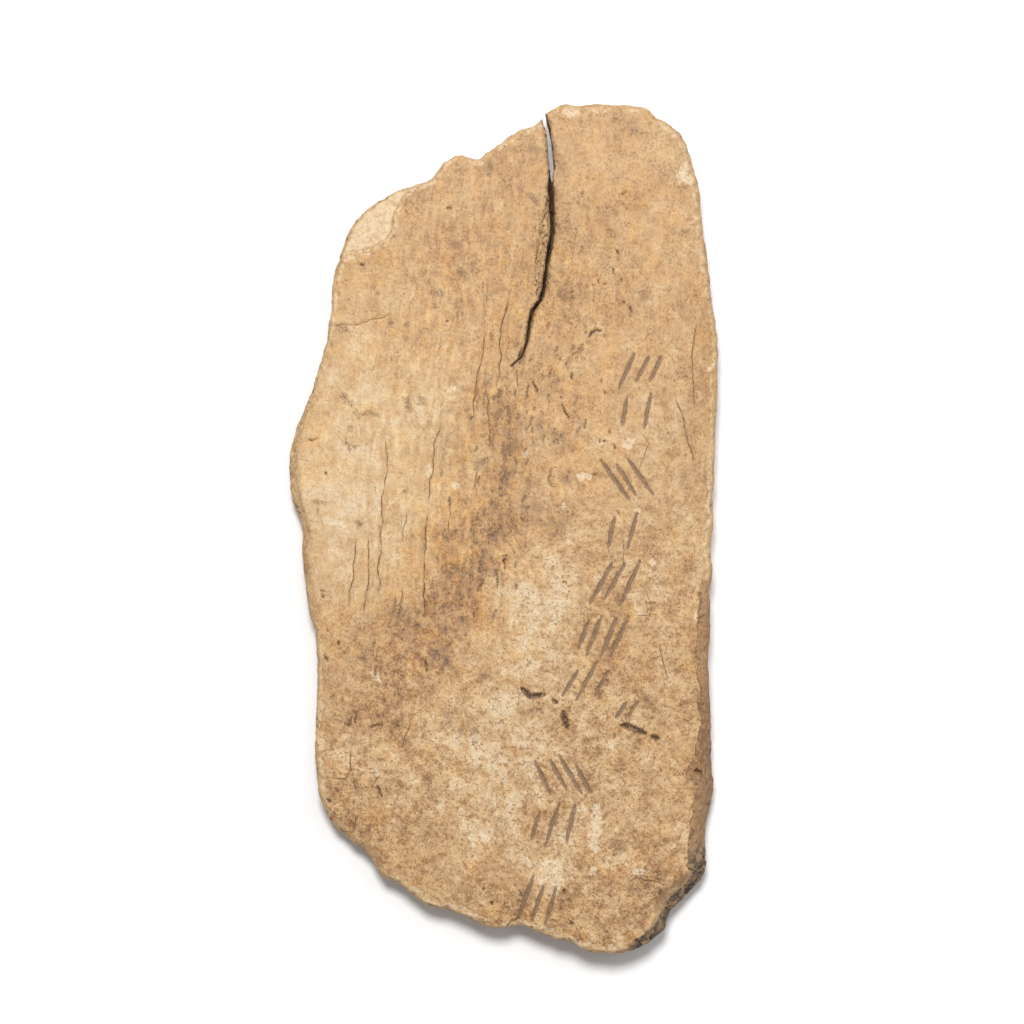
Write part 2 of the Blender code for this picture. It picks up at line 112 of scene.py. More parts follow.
# Small pits and holes, their dark insides painted shade.
DARK_MARKS = (
    (0.30, ((-10.6, 39.2), (-10.4, 39.0))), (0.28, ((-9.5, 60.4), (-10.6, 60.4))),
    (0.23, ((19.4, 46.1),)), (0.19, ((16.8, 45.6),)), (0.26, ((15.1, 63.0),)),
    (0.24, ((14.2, 61.2),)), (0.23, ((22.0, 62.3), (23.4, 63.4))),
    (0.23, ((21.5, 52.5), (21.9, 51.6))), (0.19, ((20.7, 49.2), (20.9, 47.7))),
    (0.19, ((22.2, 47.3), (22.4, 46.3))), (0.19, ((17.7, 46.7), (17.9, 46.0))),
    (0.21, ((22.6, 43.0), (22.8, 42.2))), (0.23, ((23.9, 41.8), (24.3, 40.5))),
    (0.24, ((5.5, 28.3), (6.1, 26.8), (6.5, 25.3))), (0.24, ((12.9, 29.6), (13.0, 27.8))),
    (0.23, ((11.2, 23.8), (11.7, 21.9), (12.9, 20.6))),
    (0.30, ((16.2, 35.6), (16.6, 36.8), (17.4, 37.3), (18.7, 37.1))),
    (0.19, ((18.7, 28.3), (18.5, 27.4))), (0.21, ((18.9, 25.9), (19.0, 25.3))),
    (0.23, ((18.3, 17.1), (18.5, 16.1))), (0.21, ((19.2, 16.9), (19.4, 16.1))),
    (0.21, ((20.7, 15.9), (21.1, 15.0))), (0.23, ((15.3, 19.5), (15.5, 18.8))),
    (0.19, ((20.0, 18.6), (20.2, 17.8))), (0.26, ((-34.2, -12.2), (-33.7, -12.9))),
    (0.23, ((-34.6, -11.4), (-33.5, -11.8))), (0.24, ((-32.9, -18.9), (-32.9, -19.7))),
    (0.28, ((-33.7, -23.8), (-32.9, -25.0))), (0.23, ((-30.7, -21.0), (-30.7, -21.9))),
    (0.28, ((-24.1, -26.8), (-23.9, -27.6))), (0.30, ((-14.5, -24.4), (-14.4, -26.8))),
    (0.24, ((-27.9, -33.8), (-27.5, -35.1))), (0.30, ((-28.4, -35.1), (-29.2, -37.3))),
    (0.23, ((-27.7, -35.1), (-27.9, -36.6))),
    (0.36, ((-24.7, -37.1), (-23.7, -36.8), (-22.8, -37.1))),
    (0.24, ((-20.0, -36.8), (-19.6, -37.0))), (0.38, ((-23.2, -48.2), (-23.0, -50.1))),
    (0.30, ((-31.6, -48.8), (-30.7, -49.3))), (0.34, ((-33.3, -50.8), (-32.2, -51.4))),
    (0.26, ((36.5, -45.6), (37.1, -46.1))), (0.24, ((-3.8, -67.5), (-3.5, -67.7))),
    (0.34, ((-2.2, -70.0), (-1.8, -70.5))), (0.49, ((12.9, -73.5), (13.2, -74.3))),
    (0.38, ((11.2, -67.9), (11.5, -67.5))), (0.26, ((11.7, -9.9),)),
    (0.34, ((32.5, -69.0), (33.1, -69.4))), (0.30, ((36.9, -63.8), (37.2, -64.3))),
    (0.24, ((30.5, -70.9), (30.9, -71.3))), (0.30, ((-24.9, 52.0), (-24.5, 51.6))),
    (0.28, ((-27.1, 49.9), (-26.0, 49.5))), (0.24, ((-4.6, -11.6), (-3.8, -9.6))),
    (0.23, ((-1.0, -8.4), (-1.2, -11.4))), (0.23, ((0.1, -5.1), (0.5, -7.7))),
    (0.19, ((-34.8, 17.1), (-35.7, 16.7), (-36.9, 16.9))), (0.24, ((-33.3, 10.7), (-33.1, 10.1))),
    (0.23, ((29.7, -67.5), (29.4, -68.3))), (0.24, ((7.0, -58.7), (6.5, -58.9))),
    (0.28, ((29.5, -45.2), (29.7, -45.6))), (0.21, ((29.5, -40.3),)),
    (0.28, ((21.5, 3.2), (21.7, 2.6))), (0.26, ((17.0, 10.5), (17.5, 10.1))),
)

# Grey scars where the outer skin of the bone has come away.
GREY_MARKS = (
    (0.79, ((-9.8, 52.7), (-8.5, 53.8))), (0.56, ((-2.7, 43.7), (-1.2, 44.6), (0.5, 45.0))),
    (0.49, ((4.8, 71.5), (6.7, 71.3))), (0.60, ((-18.9, 28.7), (-18.9, 28.5))),
    (0.45, ((-12.7, 34.5), (-12.7, 34.3))), (0.68, ((-10.6, 22.9), (-10.0, 21.9))),
    (0.53, ((-8.0, 26.5), (-7.0, 25.9))), (0.56, ((-8.7, 20.4), (-8.0, 21.8))),
    (0.56, ((6.5, 20.1), (7.2, 18.4))), (0.45, ((7.6, 18.9), (7.6, 16.7))),
    (0.45, ((0.3, 18.9), (1.2, 16.7))), (0.49, ((2.7, 17.1), (2.3, 14.8))),
    (0.45, ((1.2, 15.6), (2.0, 13.9))), (0.49, ((0.5, 9.6), (1.4, 7.7))),
    (0.45, ((4.6, 9.6), (5.2, 7.3))), (0.53, ((5.7, 4.5), (7.6, 3.2))),
    (0.53, ((5.3, 2.1), (8.0, 0.6))), (0.49, ((8.7, 2.1), (10.4, 0.2))),
    (0.41, ((10.8, 1.3), (11.7, 0.2))), (0.56, ((11.0, 9.0), (12.3, 8.8))),
    (0.53, ((-6.7, -11.6), (-5.0, -14.1))), (0.45, ((-8.0, -16.5), (-8.2, -18.9))),
    (0.45, ((-6.8, -16.7), (-6.3, -19.3))), (0.53, ((-10.4, -22.3), (-12.5, -23.6))),
    (0.53, ((-11.0, -23.6), (-10.0, -26.1))), (0.41, ((-12.9, -23.3), (-13.2, -25.3))),
    (0.41, ((-10.8, -34.1), (-10.0, -35.6), (-9.8, -37.3))),
    (0.64, ((-8.2, -37.7), (-7.4, -38.3))), (0.60, ((-5.9, -37.5), (-4.8, -38.3))),
    (0.56, ((-28.4, -39.6), (-28.4, -40.5))),
    (0.49, ((-27.5, -49.0), (-27.3, -50.1))), (0.56, ((-19.8, -48.8), (-19.4, -49.7))),
    (0.56, ((-22.4, -56.3), (-22.0, -56.7))), (0.49, ((-14.9, -54.4), (-14.7, -55.0))),
    (0.68, ((-2.5, -52.9), (-1.8, -53.5))), (0.75, ((-0.5, -54.2), (0.5, -55.0))),
    (0.45, ((-12.3, -65.7), (-11.9, -66.0))), (0.60, ((33.9, 9.9), (34.2, 9.8))),
    (0.45, ((29.0, -10.5), (31.0, -9.4))), (0.56, ((17.0, -43.1), (17.5, -43.5))),
    (0.49, ((31.8, -51.4), (32.2, -51.6))), (0.41, ((-25.0, -40.0), (-24.7, -41.1))),
    (0.45, ((-29.9, -47.1), (-31.0, -48.2))), (0.56, ((-5.2, 11.1), (-4.0, 12.4))),
    (0.41, ((-0.1, 0.9), (0.1, -0.6))),
)

# Brown stains of the soil.
BROWN_MARKS = (
    (0.84, ((-8.0, 48.6), (-7.4, 47.3))), (0.56, ((-13.6, 44.5), (-11.3, 44.1))),
    (0.56, ((-24.7, 45.6), (-24.3, 45.2))), (0.41, ((-23.5, 44.5),)),
    (0.45, ((-2.3, 69.2), (-2.5, 66.2))), (0.38, ((-3.7, 61.2), (-3.5, 60.2))),
    (0.45, ((-14.0, 58.9), (-13.4, 59.1))), (0.34, ((-17.4, 55.2),)), (0.34, ((-20.2, 55.2),)),
    (0.56, ((5.2, 63.0), (6.3, 61.2))), (0.45, ((0.7, 57.0), (1.4, 56.5))),
    (0.75, ((19.4, 56.8), (21.3, 54.6))), (0.75, ((33.5, 55.5), (34.8, 55.9))),
    (0.84, ((24.3, 74.7), (25.8, 74.3))), (0.94, ((10.8, 44.8), (12.5, 43.1))),
    (0.75, ((25.8, 44.1), (26.9, 43.5))), (0.75, ((-31.0, 38.1), (-29.2, 37.3))),
    (0.45, ((-30.3, 25.9), (-29.5, 24.2), (-28.2, 23.3))), (0.49, ((-27.7, 22.7), (-26.9, 20.8))),
    (0.49, ((-28.4, 19.5), (-28.8, 18.4))), (0.45, ((-29.5, 17.1), (-28.6, 15.2), (-27.1, 15.6))),
    (0.38, ((-26.7, 21.6), (-24.7, 21.8), (-23.0, 20.8))),
    (0.56, ((-17.7, 25.0), (-18.1, 23.4), (-17.2, 22.1))), (0.49, ((-15.7, 25.0), (-15.1, 23.3))),
    (0.45, ((-14.0, 20.3), (-13.4, 19.7))), (0.49, ((-18.7, 7.3), (-18.1, 6.9))),
    (0.38, ((-35.9, 5.1), (-33.3, 4.9))), (0.30, ((-34.8, 4.7), (-34.8, 2.4))),
    (0.49, ((-28.0, 1.1), (-26.4, 0.9))), (0.84, ((9.5, 18.2), (11.3, 16.7))),
    (0.60, ((9.3, 18.6), (10.8, 17.4))), (0.68, ((-4.0, -27.4), (-3.5, -27.8))),
    (0.56, ((-23.2, -58.0), (-22.6, -58.3))), (0.75, ((-14.7, -46.3), (-13.8, -47.7))),
    (0.94, ((20.5, -59.5), (23.0, -60.2))), (0.68, ((32.0, -60.2), (32.5, -60.6))),
    (0.75, ((23.9, -67.2), (25.8, -67.5))), (0.84, ((29.4, -67.5), (30.9, -68.3))),
    (0.68, ((-21.1, 39.2), (-20.7, 38.8))), (0.56, ((-18.5, 38.5), (-17.7, 38.1))),
    (0.49, ((11.3, -67.7), (11.9, -68.5))), (0.64, ((21.5, -43.3), (23.0, -43.7))),
    (0.56, ((17.7, -30.6), (18.9, -30.8))), (0.45, ((26.7, -32.1), (27.5, -32.8))),
)

# Pale scuffs and smears.
PALE_MARKS = (
    (1.03, ((34.4, 68.5), (33.9, 66.6), (35.2, 64.9))), (0.75, ((11.7, 78.0), (14.2, 78.2))),
    (0.56, ((29.5, 76.9), (31.8, 75.4))), (0.56, ((-10.6, 68.8), (-9.1, 70.0))),
    (0.49, ((-33.1, 1.3), (-31.2, 1.1), (-29.5, 0.6))), (0.38, ((-10.4, 25.9), (-8.7, 26.5))),
    (0.45, ((-13.6, 11.8), (-14.0, 9.6))), (0.56, ((-9.5, 8.3), (-8.2, 7.9))),
    (0.34, ((7.2, 18.8),)), (0.56, ((3.7, 14.4), (4.8, 13.9))), (0.75, ((14.2, 9.6), (16.4, 9.9))),
    (0.75, ((22.4, 15.6), (24.7, 16.7))),
    (1.0, ((17.7, -51.6), (17.7, -54.6), (17.2, -57.6), (17.2, -60.6))),
    (1.2, ((16.6, -63.8), (17.0, -64.3))), (0.8, ((10.2, -62.1), (10.2, -65.8), (9.7, -68.7))),
    (0.64, ((24.5, -64.5), (26.9, -64.0))), (0.38, ((7.0, -63.2), (9.3, -62.1))),
    (0.38, ((-1.4, -50.7), (-1.2, -52.7))), (0.49, ((-6.3, -56.8), (-5.3, -59.5))),
    (0.45, ((-4.2, -56.8), (-3.3, -58.7))), (0.56, ((3.7, -61.3), (5.3, -63.2))),
    (0.34, ((38.2, 29.5), (39.9, 31.1))), (0.56, ((4.2, 75.0), (6.1, 76.4))),
    (0.56, ((-13.6, -34.7), (-12.9, -35.1))), (0.75, ((-24.5, -26.8), (-23.0, -28.7))),
    (0.49, ((11.3, 4.7), (11.9, 3.6))), (0.45, ((25.0, 3.2), (25.6, 3.9))),
    (0.56, ((27.9, -5.8), (28.6, -6.9))), (0.49, ((37.1, -15.2), (36.3, -17.1))),
)

# Thin pale scratches.
SCRATCHES = (
    (0.14, ((-33.6, 1.7), (-31.4, 0.9), (-28.7, 0.4))), (0.11, ((-32.8, 2.3), (-30.4, 1.4))),
    (0.11, ((-31.6, -0.3), (-29.2, -0.6), (-26.2, -1.2))), (0.09, ((-28.2, 2.0), (-27.8, -0.4))),
    (0.10, ((-30.9, 15.6), (-30.1, 12.8))), (0.12, ((-14.2, 12.0), (-14.7, 9.4))),
    (0.10, ((-11.3, 25.0), (-9.2, 26.3), (-8.1, 27.9))), (0.09, ((-16.4, -4.6), (-13.8, -5.2))),
)

# The carved strokes and the scorched pits, as they stand in the solid bone. Each column has its
# head, its foot and its width, and for each row the number of strokes and how they lean.
STROKE_COLUMNS = (
    ((26.8, 34.4), (24.4, 17.2), 8.4, ((3, 28.0), (2, 12.0))),
    ((24.0, 14.6), (20.6, -14.8), 7.8, ((3, -34.0), (2, 14.0), (3, 27.0))),
    ((20.0, -15.6), (14.2, -33.6), 8.8, ((4, 21.0), (3, 30.0))),
    ((24.4, -30.8), (22.6, -36.2), 4.4, ((2, 32.0),)),
    ((12.6, -42.2), (8.4, -59.8), 10.0, ((4, -28.0), (3, 17.0))),
    ((7.8, -64.6), (5.4, -75.6), 8.2, ((3, 18.0),)),
)
STROKE_SEED = 7
STROKE_FILL = (0.6, 0.98)
STROKE_STRAY_ACROSS = 0.3
STROKE_STRAY_ALONG = 0.6
STROKE_STRAY_LEAN = 4.0
STROKE_HALF_WIDTH = 0.42
STROKE_DEPTH = 0.42
PIT_DEPTH = 0.8
PITS = (
    (0.60, ((3.6, -29.9), (5.2, -31.4), (7.9, -31.0))),
    (0.44, ((9.4, -32.1), (10.3, -32.6))),
    (0.62, ((11.4, -34.2), (11.8, -36.2), (12.3, -37.4))),
    (0.60, ((22.2, -36.8), (23.4, -36.9), (25.6, -37.8), (26.8, -38.3))),
    (0.50, ((28.0, -38.8), (29.4, -39.4))),
    (0.60, ((36.0, -45.3), (37.0, -46.0), (39.6, -48.2))),
)
# The great crack, its crumbled lip and the flake at the upper left.
GREAT_CRACK = (
    (0.50, ((8.0, 78.0), (9.0, 72.0), (9.1, 66.0))),
    (0.52, ((9.1, 66.0), (9.0, 64.0), (9.3, 59.3), (9.3, 55.6), (8.4, 50.5))),
    (0.42, ((8.4, 50.5), (7.8, 45.5), (7.2, 43.0))),
    (0.30, ((7.2, 43.0), (5.6, 41.0), (5.0, 38.5), (4.6, 35.2))),
    (0.18, ((4.6, 35.2), (3.6, 32.4), (1.6, 30.6))),
)
CRACK_LIP = (
    (1.1, ((8.5, 60.0), (8.3, 58.0), (8.1, 53.5), (7.4, 49.0))),
    (0.8, ((7.4, 49.0), (7.0, 45.5), (6.8, 43.4))),
)
FLAKE_BORDER = (
    (-15.6, 67.0), (-17.0, 64.6), (-19.0, 62.1), (-20.6, 58.6), (-20.8, 56.4), (-22.2, 54.2),
    (-25.4, 53.0), (-26.6, 51.8), (-30.0, 51.5), (-33.5, 50.0),
)
FLAKE_OUTSIDE = ((-34.0, 60.0), (-24.0, 68.0))

# The hollows of the back: where each column is and how scorched, the rows, and the burns' reach.
HOLLOW_COLUMNS = ((16.5, 0.5), (12.1, 0.95))
HOLLOW_ROWS = (36.0, 11.0, -14.0, -39.0)
HOLLOW_PLACES = tuple((x, y) for y in HOLLOW_ROWS for x, _ in HOLLOW_COLUMNS)
BURN_REACH = (2.2, 2.4)
HOLLOW_BURNS = tuple((x, y, *BURN_REACH, burn) for y in HOLLOW_ROWS for x, burn in HOLLOW_COLUMNS)

# The dull band along the valley of the blade, and the way that its scars run.
BAND = ((8.5, 37.3), (3.3, 24.2), (0.5, 11.1), (-6.1, -2.1), (-13.6, -13.3), (-20.2, -24.6))

# Soft patches: the middle, the reach across and along, the strength and any turn in degrees.
COLOUR_PATCHES = {
    "brown": (
        (0.5, 15.8, 3.6, 8.0, 0.7), (-3.3, 1.7, 4.6, 9.0, 0.85, -20),
        (-8.9, -8.6, 6, 8, 0.68, -35), (-17, -23.6, 6, 8, 0.9, -25),
        (-11.7, -16.1, 5.5, 6, 0.72, -30), (-22, -32, 5, 5, 0.6), (-27.1, -36.2, 4.5, 2.8, 0.5),
        (-30.1, -49, 3.8, 6.5, 0.55), (-25.8, -56.5, 4, 4, 0.4), (7, -72.4, 13, 3.6, 0.6),
        (-0.5, -65.8, 4, 4, 0.3), (11.7, -49, 3.6, 5, 0.3), (-8.9, 50.5, 2.8, 5, 0.5),
        (10.8, 43.9, 4.5, 3.2, 0.45), (10.8, 18.6, 7, 6, 0.3), (20.2, 55, 3.2, 3.2, 0.25),
        # The first one darkens the right margin: partly painted shade.
        (36.6, -40, 2.6, 20, 0.4), (22, -22, 8, 8, 0.22), (31.4, -65.8, 5, 4, 0.5, -40),
        (25.8, 74.9, 4, 3, 0.3), (-20, 65, 6, 3, 0.25, 30), (3.3, 69, 5, 7, 0.22),
        (38, 24, 2.2, 6, 0.4), (24, -39.6, 8, 2.6, 0.28), (-4.2, 24.2, 4, 7, 0.35),
        (33, 54, 3, 3, 0.25), (-9, 65, 4, 4, 0.2), (16, 56, 18, 20, 0.12), (-10, 48, 12, 14, 0.1),
        # These two darken the left bevel strip: painted shade, not stain.
        (-38, -7, 1.2, 9, 0.5, 8), (-36.2, -24, 1.0, 10, 0.4),
    ),
    "pale": (
        (-29.5, 7.3, 10, 13, 0.85), (-33.3, -4.9, 3.6, 6, 0.6), (-21.1, 24.2, 11, 14, 0.45),
        # (7, -16.1) and (8, -25.5) pale the hump beside the valley: partly painted highlight.
        (-19.2, -2.1, 7, 9, 0.5), (-28.6, 39.2, 8, 6, 0.35), (7, -16.1, 5, 8, 1.0),
        (8, -25.5, 5, 6, 0.75), (-0.5, -34, 3.6, 4.2, 0.7), (-11.7, -40.5, 9, 4, 0.4),
        (13, -10, 5, 4, 0.35), (-6, -49, 8, 5, 0.3), (22, 14.8, 5, 4, 0.35),
        # (2, -46) lightens the lower half: partly painted light that makes up for the key light's
        # fall-off.
        (8, -63, 5, 3.6, 0.35), (2, -46, 14, 14, 0.52), (-24, 6, 12, 18, 0.25),
        (29, -8, 8, 13, 0.25), (-22, -46, 9, 8, 0.2),
    ),
    "warm": (
        (-25.8, 50.1, 4.6, 3.2, 0.5), (-17.4, 37.3, 6, 4, 0.4), (2.3, 41, 5, 7, 0.5),
        (11.7, 24.2, 10, 13, 0.5), (16.4, 9.2, 6, 4, 0.4), (-8.9, -2.1, 5, 10, 0.5, -15),
        (-4.2, -16.3, 1.9, 2.5, 1.0), (-6.1, -9.6, 2.6, 3.4, 0.5), (-14.5, 1.7, 3, 10, 0.35),
        (-30.5, -20.8, 4, 6, 0.3), (-15.5, 67.3, 6, 6, 0.25), (-36, 17.6, 3, 4, 0.5),
        (1.4, -3.9, 3.6, 4, 0.6), (-7, 16, 3, 10, 0.4), (22, -60, 5, 4, 0.4),
        (16, 56, 16, 20, 0.28), (-12, 46, 10, 14, 0.2),
    ),
    "cool": (
        (-29.5, -0.2, 7, 5, 0.6), (7, -14.3, 4.5, 4, 0.6), (29.5, 12.9, 8, 9, 0.35),
        (10.8, -45, 14, 12, 0.4), (8, -64, 5, 4, 0.3), (-0.5, -34.5, 3, 3, 0.3),
        (-11, 20.5, 4.5, 5.5, 0.35), (3.5, 17, 4, 5, 0.4),
    ),
}
STEERING_PATCHES = {
    "porous": (
        (12, -45, 26, 26, 1.0), (-14, -48, 18, 14, 1.0), (12, -10, 12, 12, 0.7),
        (32, -20, 9, 26, 0.7), (-29, -50, 8, 12, 1.0), (-20, -27, 8, 8, 0.7),
        (26, -70, 12, 10, 1.0), (6, -72, 20, 6, 1.0),
    ),
    "pitted": (
        (7, 22, 8, 12, 0.8), (10, 4, 9, 7, 1.0), (-3, 2, 5, 12, 0.8, -20),
        (-12, -19, 5, 10, 0.8, -35), (-24, -36, 7, 5, 0.6), (16, 20, 6, 10, 0.4),
    ),
    # dark_wall darkens the right margin and its broken side: reddish-brown soil and painted shade.
    "dark_wall": (
        (42, -40, 12, 18, 1.0), (42, -68, 10, 10, 1.0, -40), (36, -76, 8, 5, 1.0, -40),
        (42, -16, 8, 7, 0.8), (40, 55, 3, 20, 0.35),
    ),
    "corner": ((36, -69, 7, 4.5, 1.0, 55), (30, -76, 6, 3.5, 1.0, 30), (38.5, -63, 3, 4, 0.7)),
    "slanted": ((8, 0, 9, 8, 1.0), (14, 8, 6, 5, 0.6)),
    "burn": HOLLOW_BURNS,
    "grained": (
        (-8, 34, 16, 34, 1.0), (-24, 2, 9, 26, 0.8), (-4, 4, 9, 26, 1.0, -20),
        (18, 52, 16, 24, 0.5), (34, 15, 7, 30, 0.5),
    ),
}
RED_SPECK = (-32.4 * MM, -54.6 * MM, 0.0)
RED_SPECK_SIZE = 0.55 * MM


# ------------------------------------------------------------------------------------------------
# Settings that a user would change.


def edge_setting(name, place, length, least):
    """A length for the mesh's edges, given in millimetres."""
    return FloatProperty(
        name=name,
        description="Length of the mesh's edges " + place,
        default=length * MM,
        min=least * MM,
        unit="LENGTH",
    )


def colour_setting(name, description, red, green, blue):
    """A solid colour."""
    return FloatVectorProperty(
        name=name,
        description=description,
        default=(red, green, blue, 1.0),
        size=4,
        subtype="COLOR",
    )


def strength_setting(name, description, strength, unit="NONE"):
    """A strength of light, from nothing up."""
    return FloatProperty(
        name=name, description=description, default=strength, min=0.0, unit=unit
    )


class BoneSettings(bpy.types.PropertyGroup):
    """Sizes and colours of the weathered bone."""

    face_edge: edge_setting("Face detail", "on the open carved face", 0.52, 0.3)
    mark_edge: edge_setting("Mark detail", "at cracks, strokes and pits", 0.29, 0.15)
    wall_edge: edge_setting("Wall detail", "on the broken sides", 0.58, 0.3)
    back_edge: edge_setting("Back detail", "on the flat back", 1.5, 0.5)
    relief: FloatProperty(
        name="Relief",
        description="Share of the full depth that pores, pits and lumps are given",
        default=1.0,
        min=0.0,
        max=2.0,
        subtype="FACTOR",
    )
    bone_colour: colour_setting("Bone", "Colour of the plain face", 0.545, 0.334, 0.155)
    pale_colour: colour_setting("Pale bone", "Colour of the worn face", 0.665, 0.454, 0.242)
    chalk_colour: colour_setting("Chalky bone", "Colour under the skin", 0.710, 0.545, 0.345)
    brown_colour: colour_setting("Brown bone", "Colour that soil leaves", 0.355, 0.188, 0.080)
    stain_colour: colour_setting("Stains", "Colour of the darkest stains", 0.155, 0.075, 0.032)
    scar_colour: colour_setting("Scars", "Grey of scars and strokes", 0.225, 0.145, 0.090)
    # Depths: painted shade in cracks, pits and holes, and also the black of scorch marks.
    dark_colour: colour_setting("Depths", "Colour in cracks and pits", 0.045, 0.022, 0.010)
    roughness: FloatProperty(
        name="Roughness",
        description="Roughness of the plain face",
        default=0.62,
        min=0.0,
        max=1.0,
        subtype="FACTOR",
    )


class StageSettings(bpy.types.PropertyGroup):
    """The floor, the lights and the camera."""

    floor_colour: colour_setting("Floor", "Colour of the floor", 0.93, 0.93, 0.93)
    key_power: strength_setting("Key light", "Power of the key light", 13.4, "POWER")
    fill_power: strength_setting("Fill light", "Power of the fill light", 1.9, "POWER")
    sky_strength: strength_setting("Room light", "Strength of the room's even light", 0.31)
    view_width: FloatProperty(
        name="View width",
        description="Width that the camera sees at the bone's face",
        default=192.1 * MM,
        min=10.0 * MM,
        unit="LENGTH",
    )
    lens: FloatProperty(
        name="Lens",
        description="Focal length of the camera, in millimetres",
        default=135.0,
        min=20.0,
    )


# ------------------------------------------------------------------------------------------------
# Measures over the surface.

# How far marks reach, in half widths, and how much they taper.
MARK_REACH = 4.0
MARK_TAPER = 0.55
# How far lines reach, over which share of their length they end, and what is left at the end.
LINE_REACH = 1.0
LINE_TAPER = 0.12
LINE_END = 0.15
# How far the distances to a mark's border and to the bone's border are measured.
FINE_REACH = 1.2
BORDER_REACH = 5.0
# How long a mark with a single point is, and how fast a patch fades.
POINT_LENGTH = 0.02
PATCH_FALL = 0.7
# How far apart the seeds set the noises, and the turn that keeps their cells off the axes.
SEED_SHIFT = 17.3
CELL_SEED_SHIFT = 11.9
TURN_AXIS = (0.6, 0.5, 0.62)
TURN_ANGLE = 0.9
TURN = Matrix.Rotation(TURN_ANGLE, 3, Vector(TURN_AXIS))


def smooth_step(low, high, values):
    """Runs smoothly from 0 at low to 1 at high."""
    share = np.clip((values - low) / (high - low), 0.0, 1.0)
    return share * share * (3.0 - 2.0 * share)


def fading(low, high, values):
    """Runs smoothly from 1 at low to 0 at high."""
    return 1.0 - smooth_step(low, high, values)


def noise_over(places, size, seed=0, octaves=3):
    """Cloudy noise from about -1 to 1, with lumps of a size in each direction, at each place."""
    if isinstance(size, float):
        places = places @ np.array(TURN)
    scaled = places / np.array(size) + seed * SEED_SHIFT
    return np.array([noise.fractal(Vector(place), 1.0, 2.0, octaves) for place in scaled])


def holes_over(places, size, seed, core, rim):
    """Round holes: 1 in their core and 0 beyond their rim, both counted in cells of a size."""
    scaled = places / size + seed * CELL_SEED_SHIFT
    apart = np.array([noise.voronoi(Vector(place))[0][0] for place in scaled])
    return fading(core, rim, apart)


def beside_path(places, path, reach):
    """Each place's distance from a path, reach at most, its side of it and how far along it is."""
    path = np.array(path)
    if len(path) == 1:
        path = np.vstack([path, path + (POINT_LENGTH, 0.0)])
    gap = np.full(len(places), reach)
    side = np.ones(len(places))
    along = np.zeros(len(places))
    near = (places > path.min(0) - reach) & (places < path.max(0) + reach)
    near = np.flatnonzero(near.all(1))
    lengths = np.linalg.norm(np.diff(path, axis=0), axis=1)
    done = 0.0
    for start, end, length in zip(path, path[1:], lengths):
        step = (end - start) / length
        offset = places[near] - start
        run = np.clip(offset @ step, 0.0, length)
        offset -= run[:, None] * step
        here = np.linalg.norm(offset, axis=1)
        closer = here < gap[near]
        chosen = near[closer]
        gap[chosen] = here[closer]
        side[chosen] = np.where(step[0] * offset[:, 1] < step[1] * offset[:, 0], -1, 1)[closer]
        along[chosen] = done + run[closer]
        done += length
    return gap, side, along / done


def mark_field(places, marks):
    """How many half widths away the nearest mark is. Marks taper towards their ends."""
    found = np.full(len(places), MARK_REACH)
    for half_width, path in marks:
        gap, _, along = beside_path(places, path, half_width * MARK_REACH)
        taper = 1.0 - MARK_TAPER * np.abs(2.0 * along - 1.0) ** 3 * (len(path) > 1)
        found = np.minimum(found, gap / (half_width * taper))
    return found


def mark_distance(places, marks):
    """Distance to the border of the nearest mark, up to FINE_REACH."""
    found = np.full(len(places), FINE_REACH)
    for half_width, path in marks:
        gap, _, _ = beside_path(places, path, half_width + FINE_REACH)
        found = np.minimum(found, np.maximum(gap - half_width, 0.0))
    return found


def line_field(places, lines):
    """The offset to the side from the nearest line, in its half widths, and how strong it is."""
    nearest = np.full(len(places), LINE_REACH)
    offset = np.full(len(places), LINE_REACH)
    strength = np.zeros(len(places))
    for half_width, path in lines:
        gap, side, along = beside_path(places, path, LINE_REACH)
        here = gap < nearest
        nearest[here] = gap[here]
        offset[here] = (side * gap / half_width)[here]
        ends = smooth_step(0.0, LINE_TAPER, np.minimum(along, 1.0 - along))
        ends = LINE_END + (1.0 - LINE_END) * ends
        strength[here] = (fading(0.5 * LINE_REACH, LINE_REACH, gap) * ends)[here]
    return offset, strength


def patch_field(places, patches):
    """The strength of soft patches at each place, from 0 to 1."""
    found = np.zeros(len(places))
    for x, y, across, along, strength, *turn in patches:
        angle = math.radians(turn[0]) if turn else 0.0
        offset = places - (x, y)
        u = (offset[:, 0] * math.cos(angle) + offset[:, 1] * math.sin(angle)) / across
        v = (offset[:, 1] * math.cos(angle) - offset[:, 0] * math.sin(angle)) / along
        here = strength * np.exp(-PATCH_FALL * (u * u + v * v))
        found = found + here - found * here
    return found


def inside_outline(places, outline):
    """Whether each place lies inside a closed outline."""
    inside = np.zeros(len(places), bool)
    for (x, y), (next_x, next_y) in zip(outline, outline[1:] + outline[:1]):
        if y == next_y:
            continue
        crosses = (places[:, 1] > min(y, next_y)) & (places[:, 1] <= max(y, next_y))
        reach = x + (places[:, 1] - y) * (next_x - x) / (next_y - y)
        inside ^= crosses & (places[:, 0] < reach)
    return inside


# ------------------------------------------------------------------------------------------------
# Marks that are drawn at random, each kind from a seed of its own.

# The seed and the number of the hairlines, and how they run.
DARK_HAIRLINES = (5, 210)
PALE_HAIRLINES = (6, 230)
HAIRLINE_AREA = (-37.0, 38.0, -74.0, 74.0)
HAIRLINE_LEAN = 38.0
HAIRLINE_BEND = 0.25
HAIRLINE_STEPS = 4
HAIRLINE_STEP = (0.4, 1.6)
HAIRLINE_WIDTH = (0.05, 0.09)
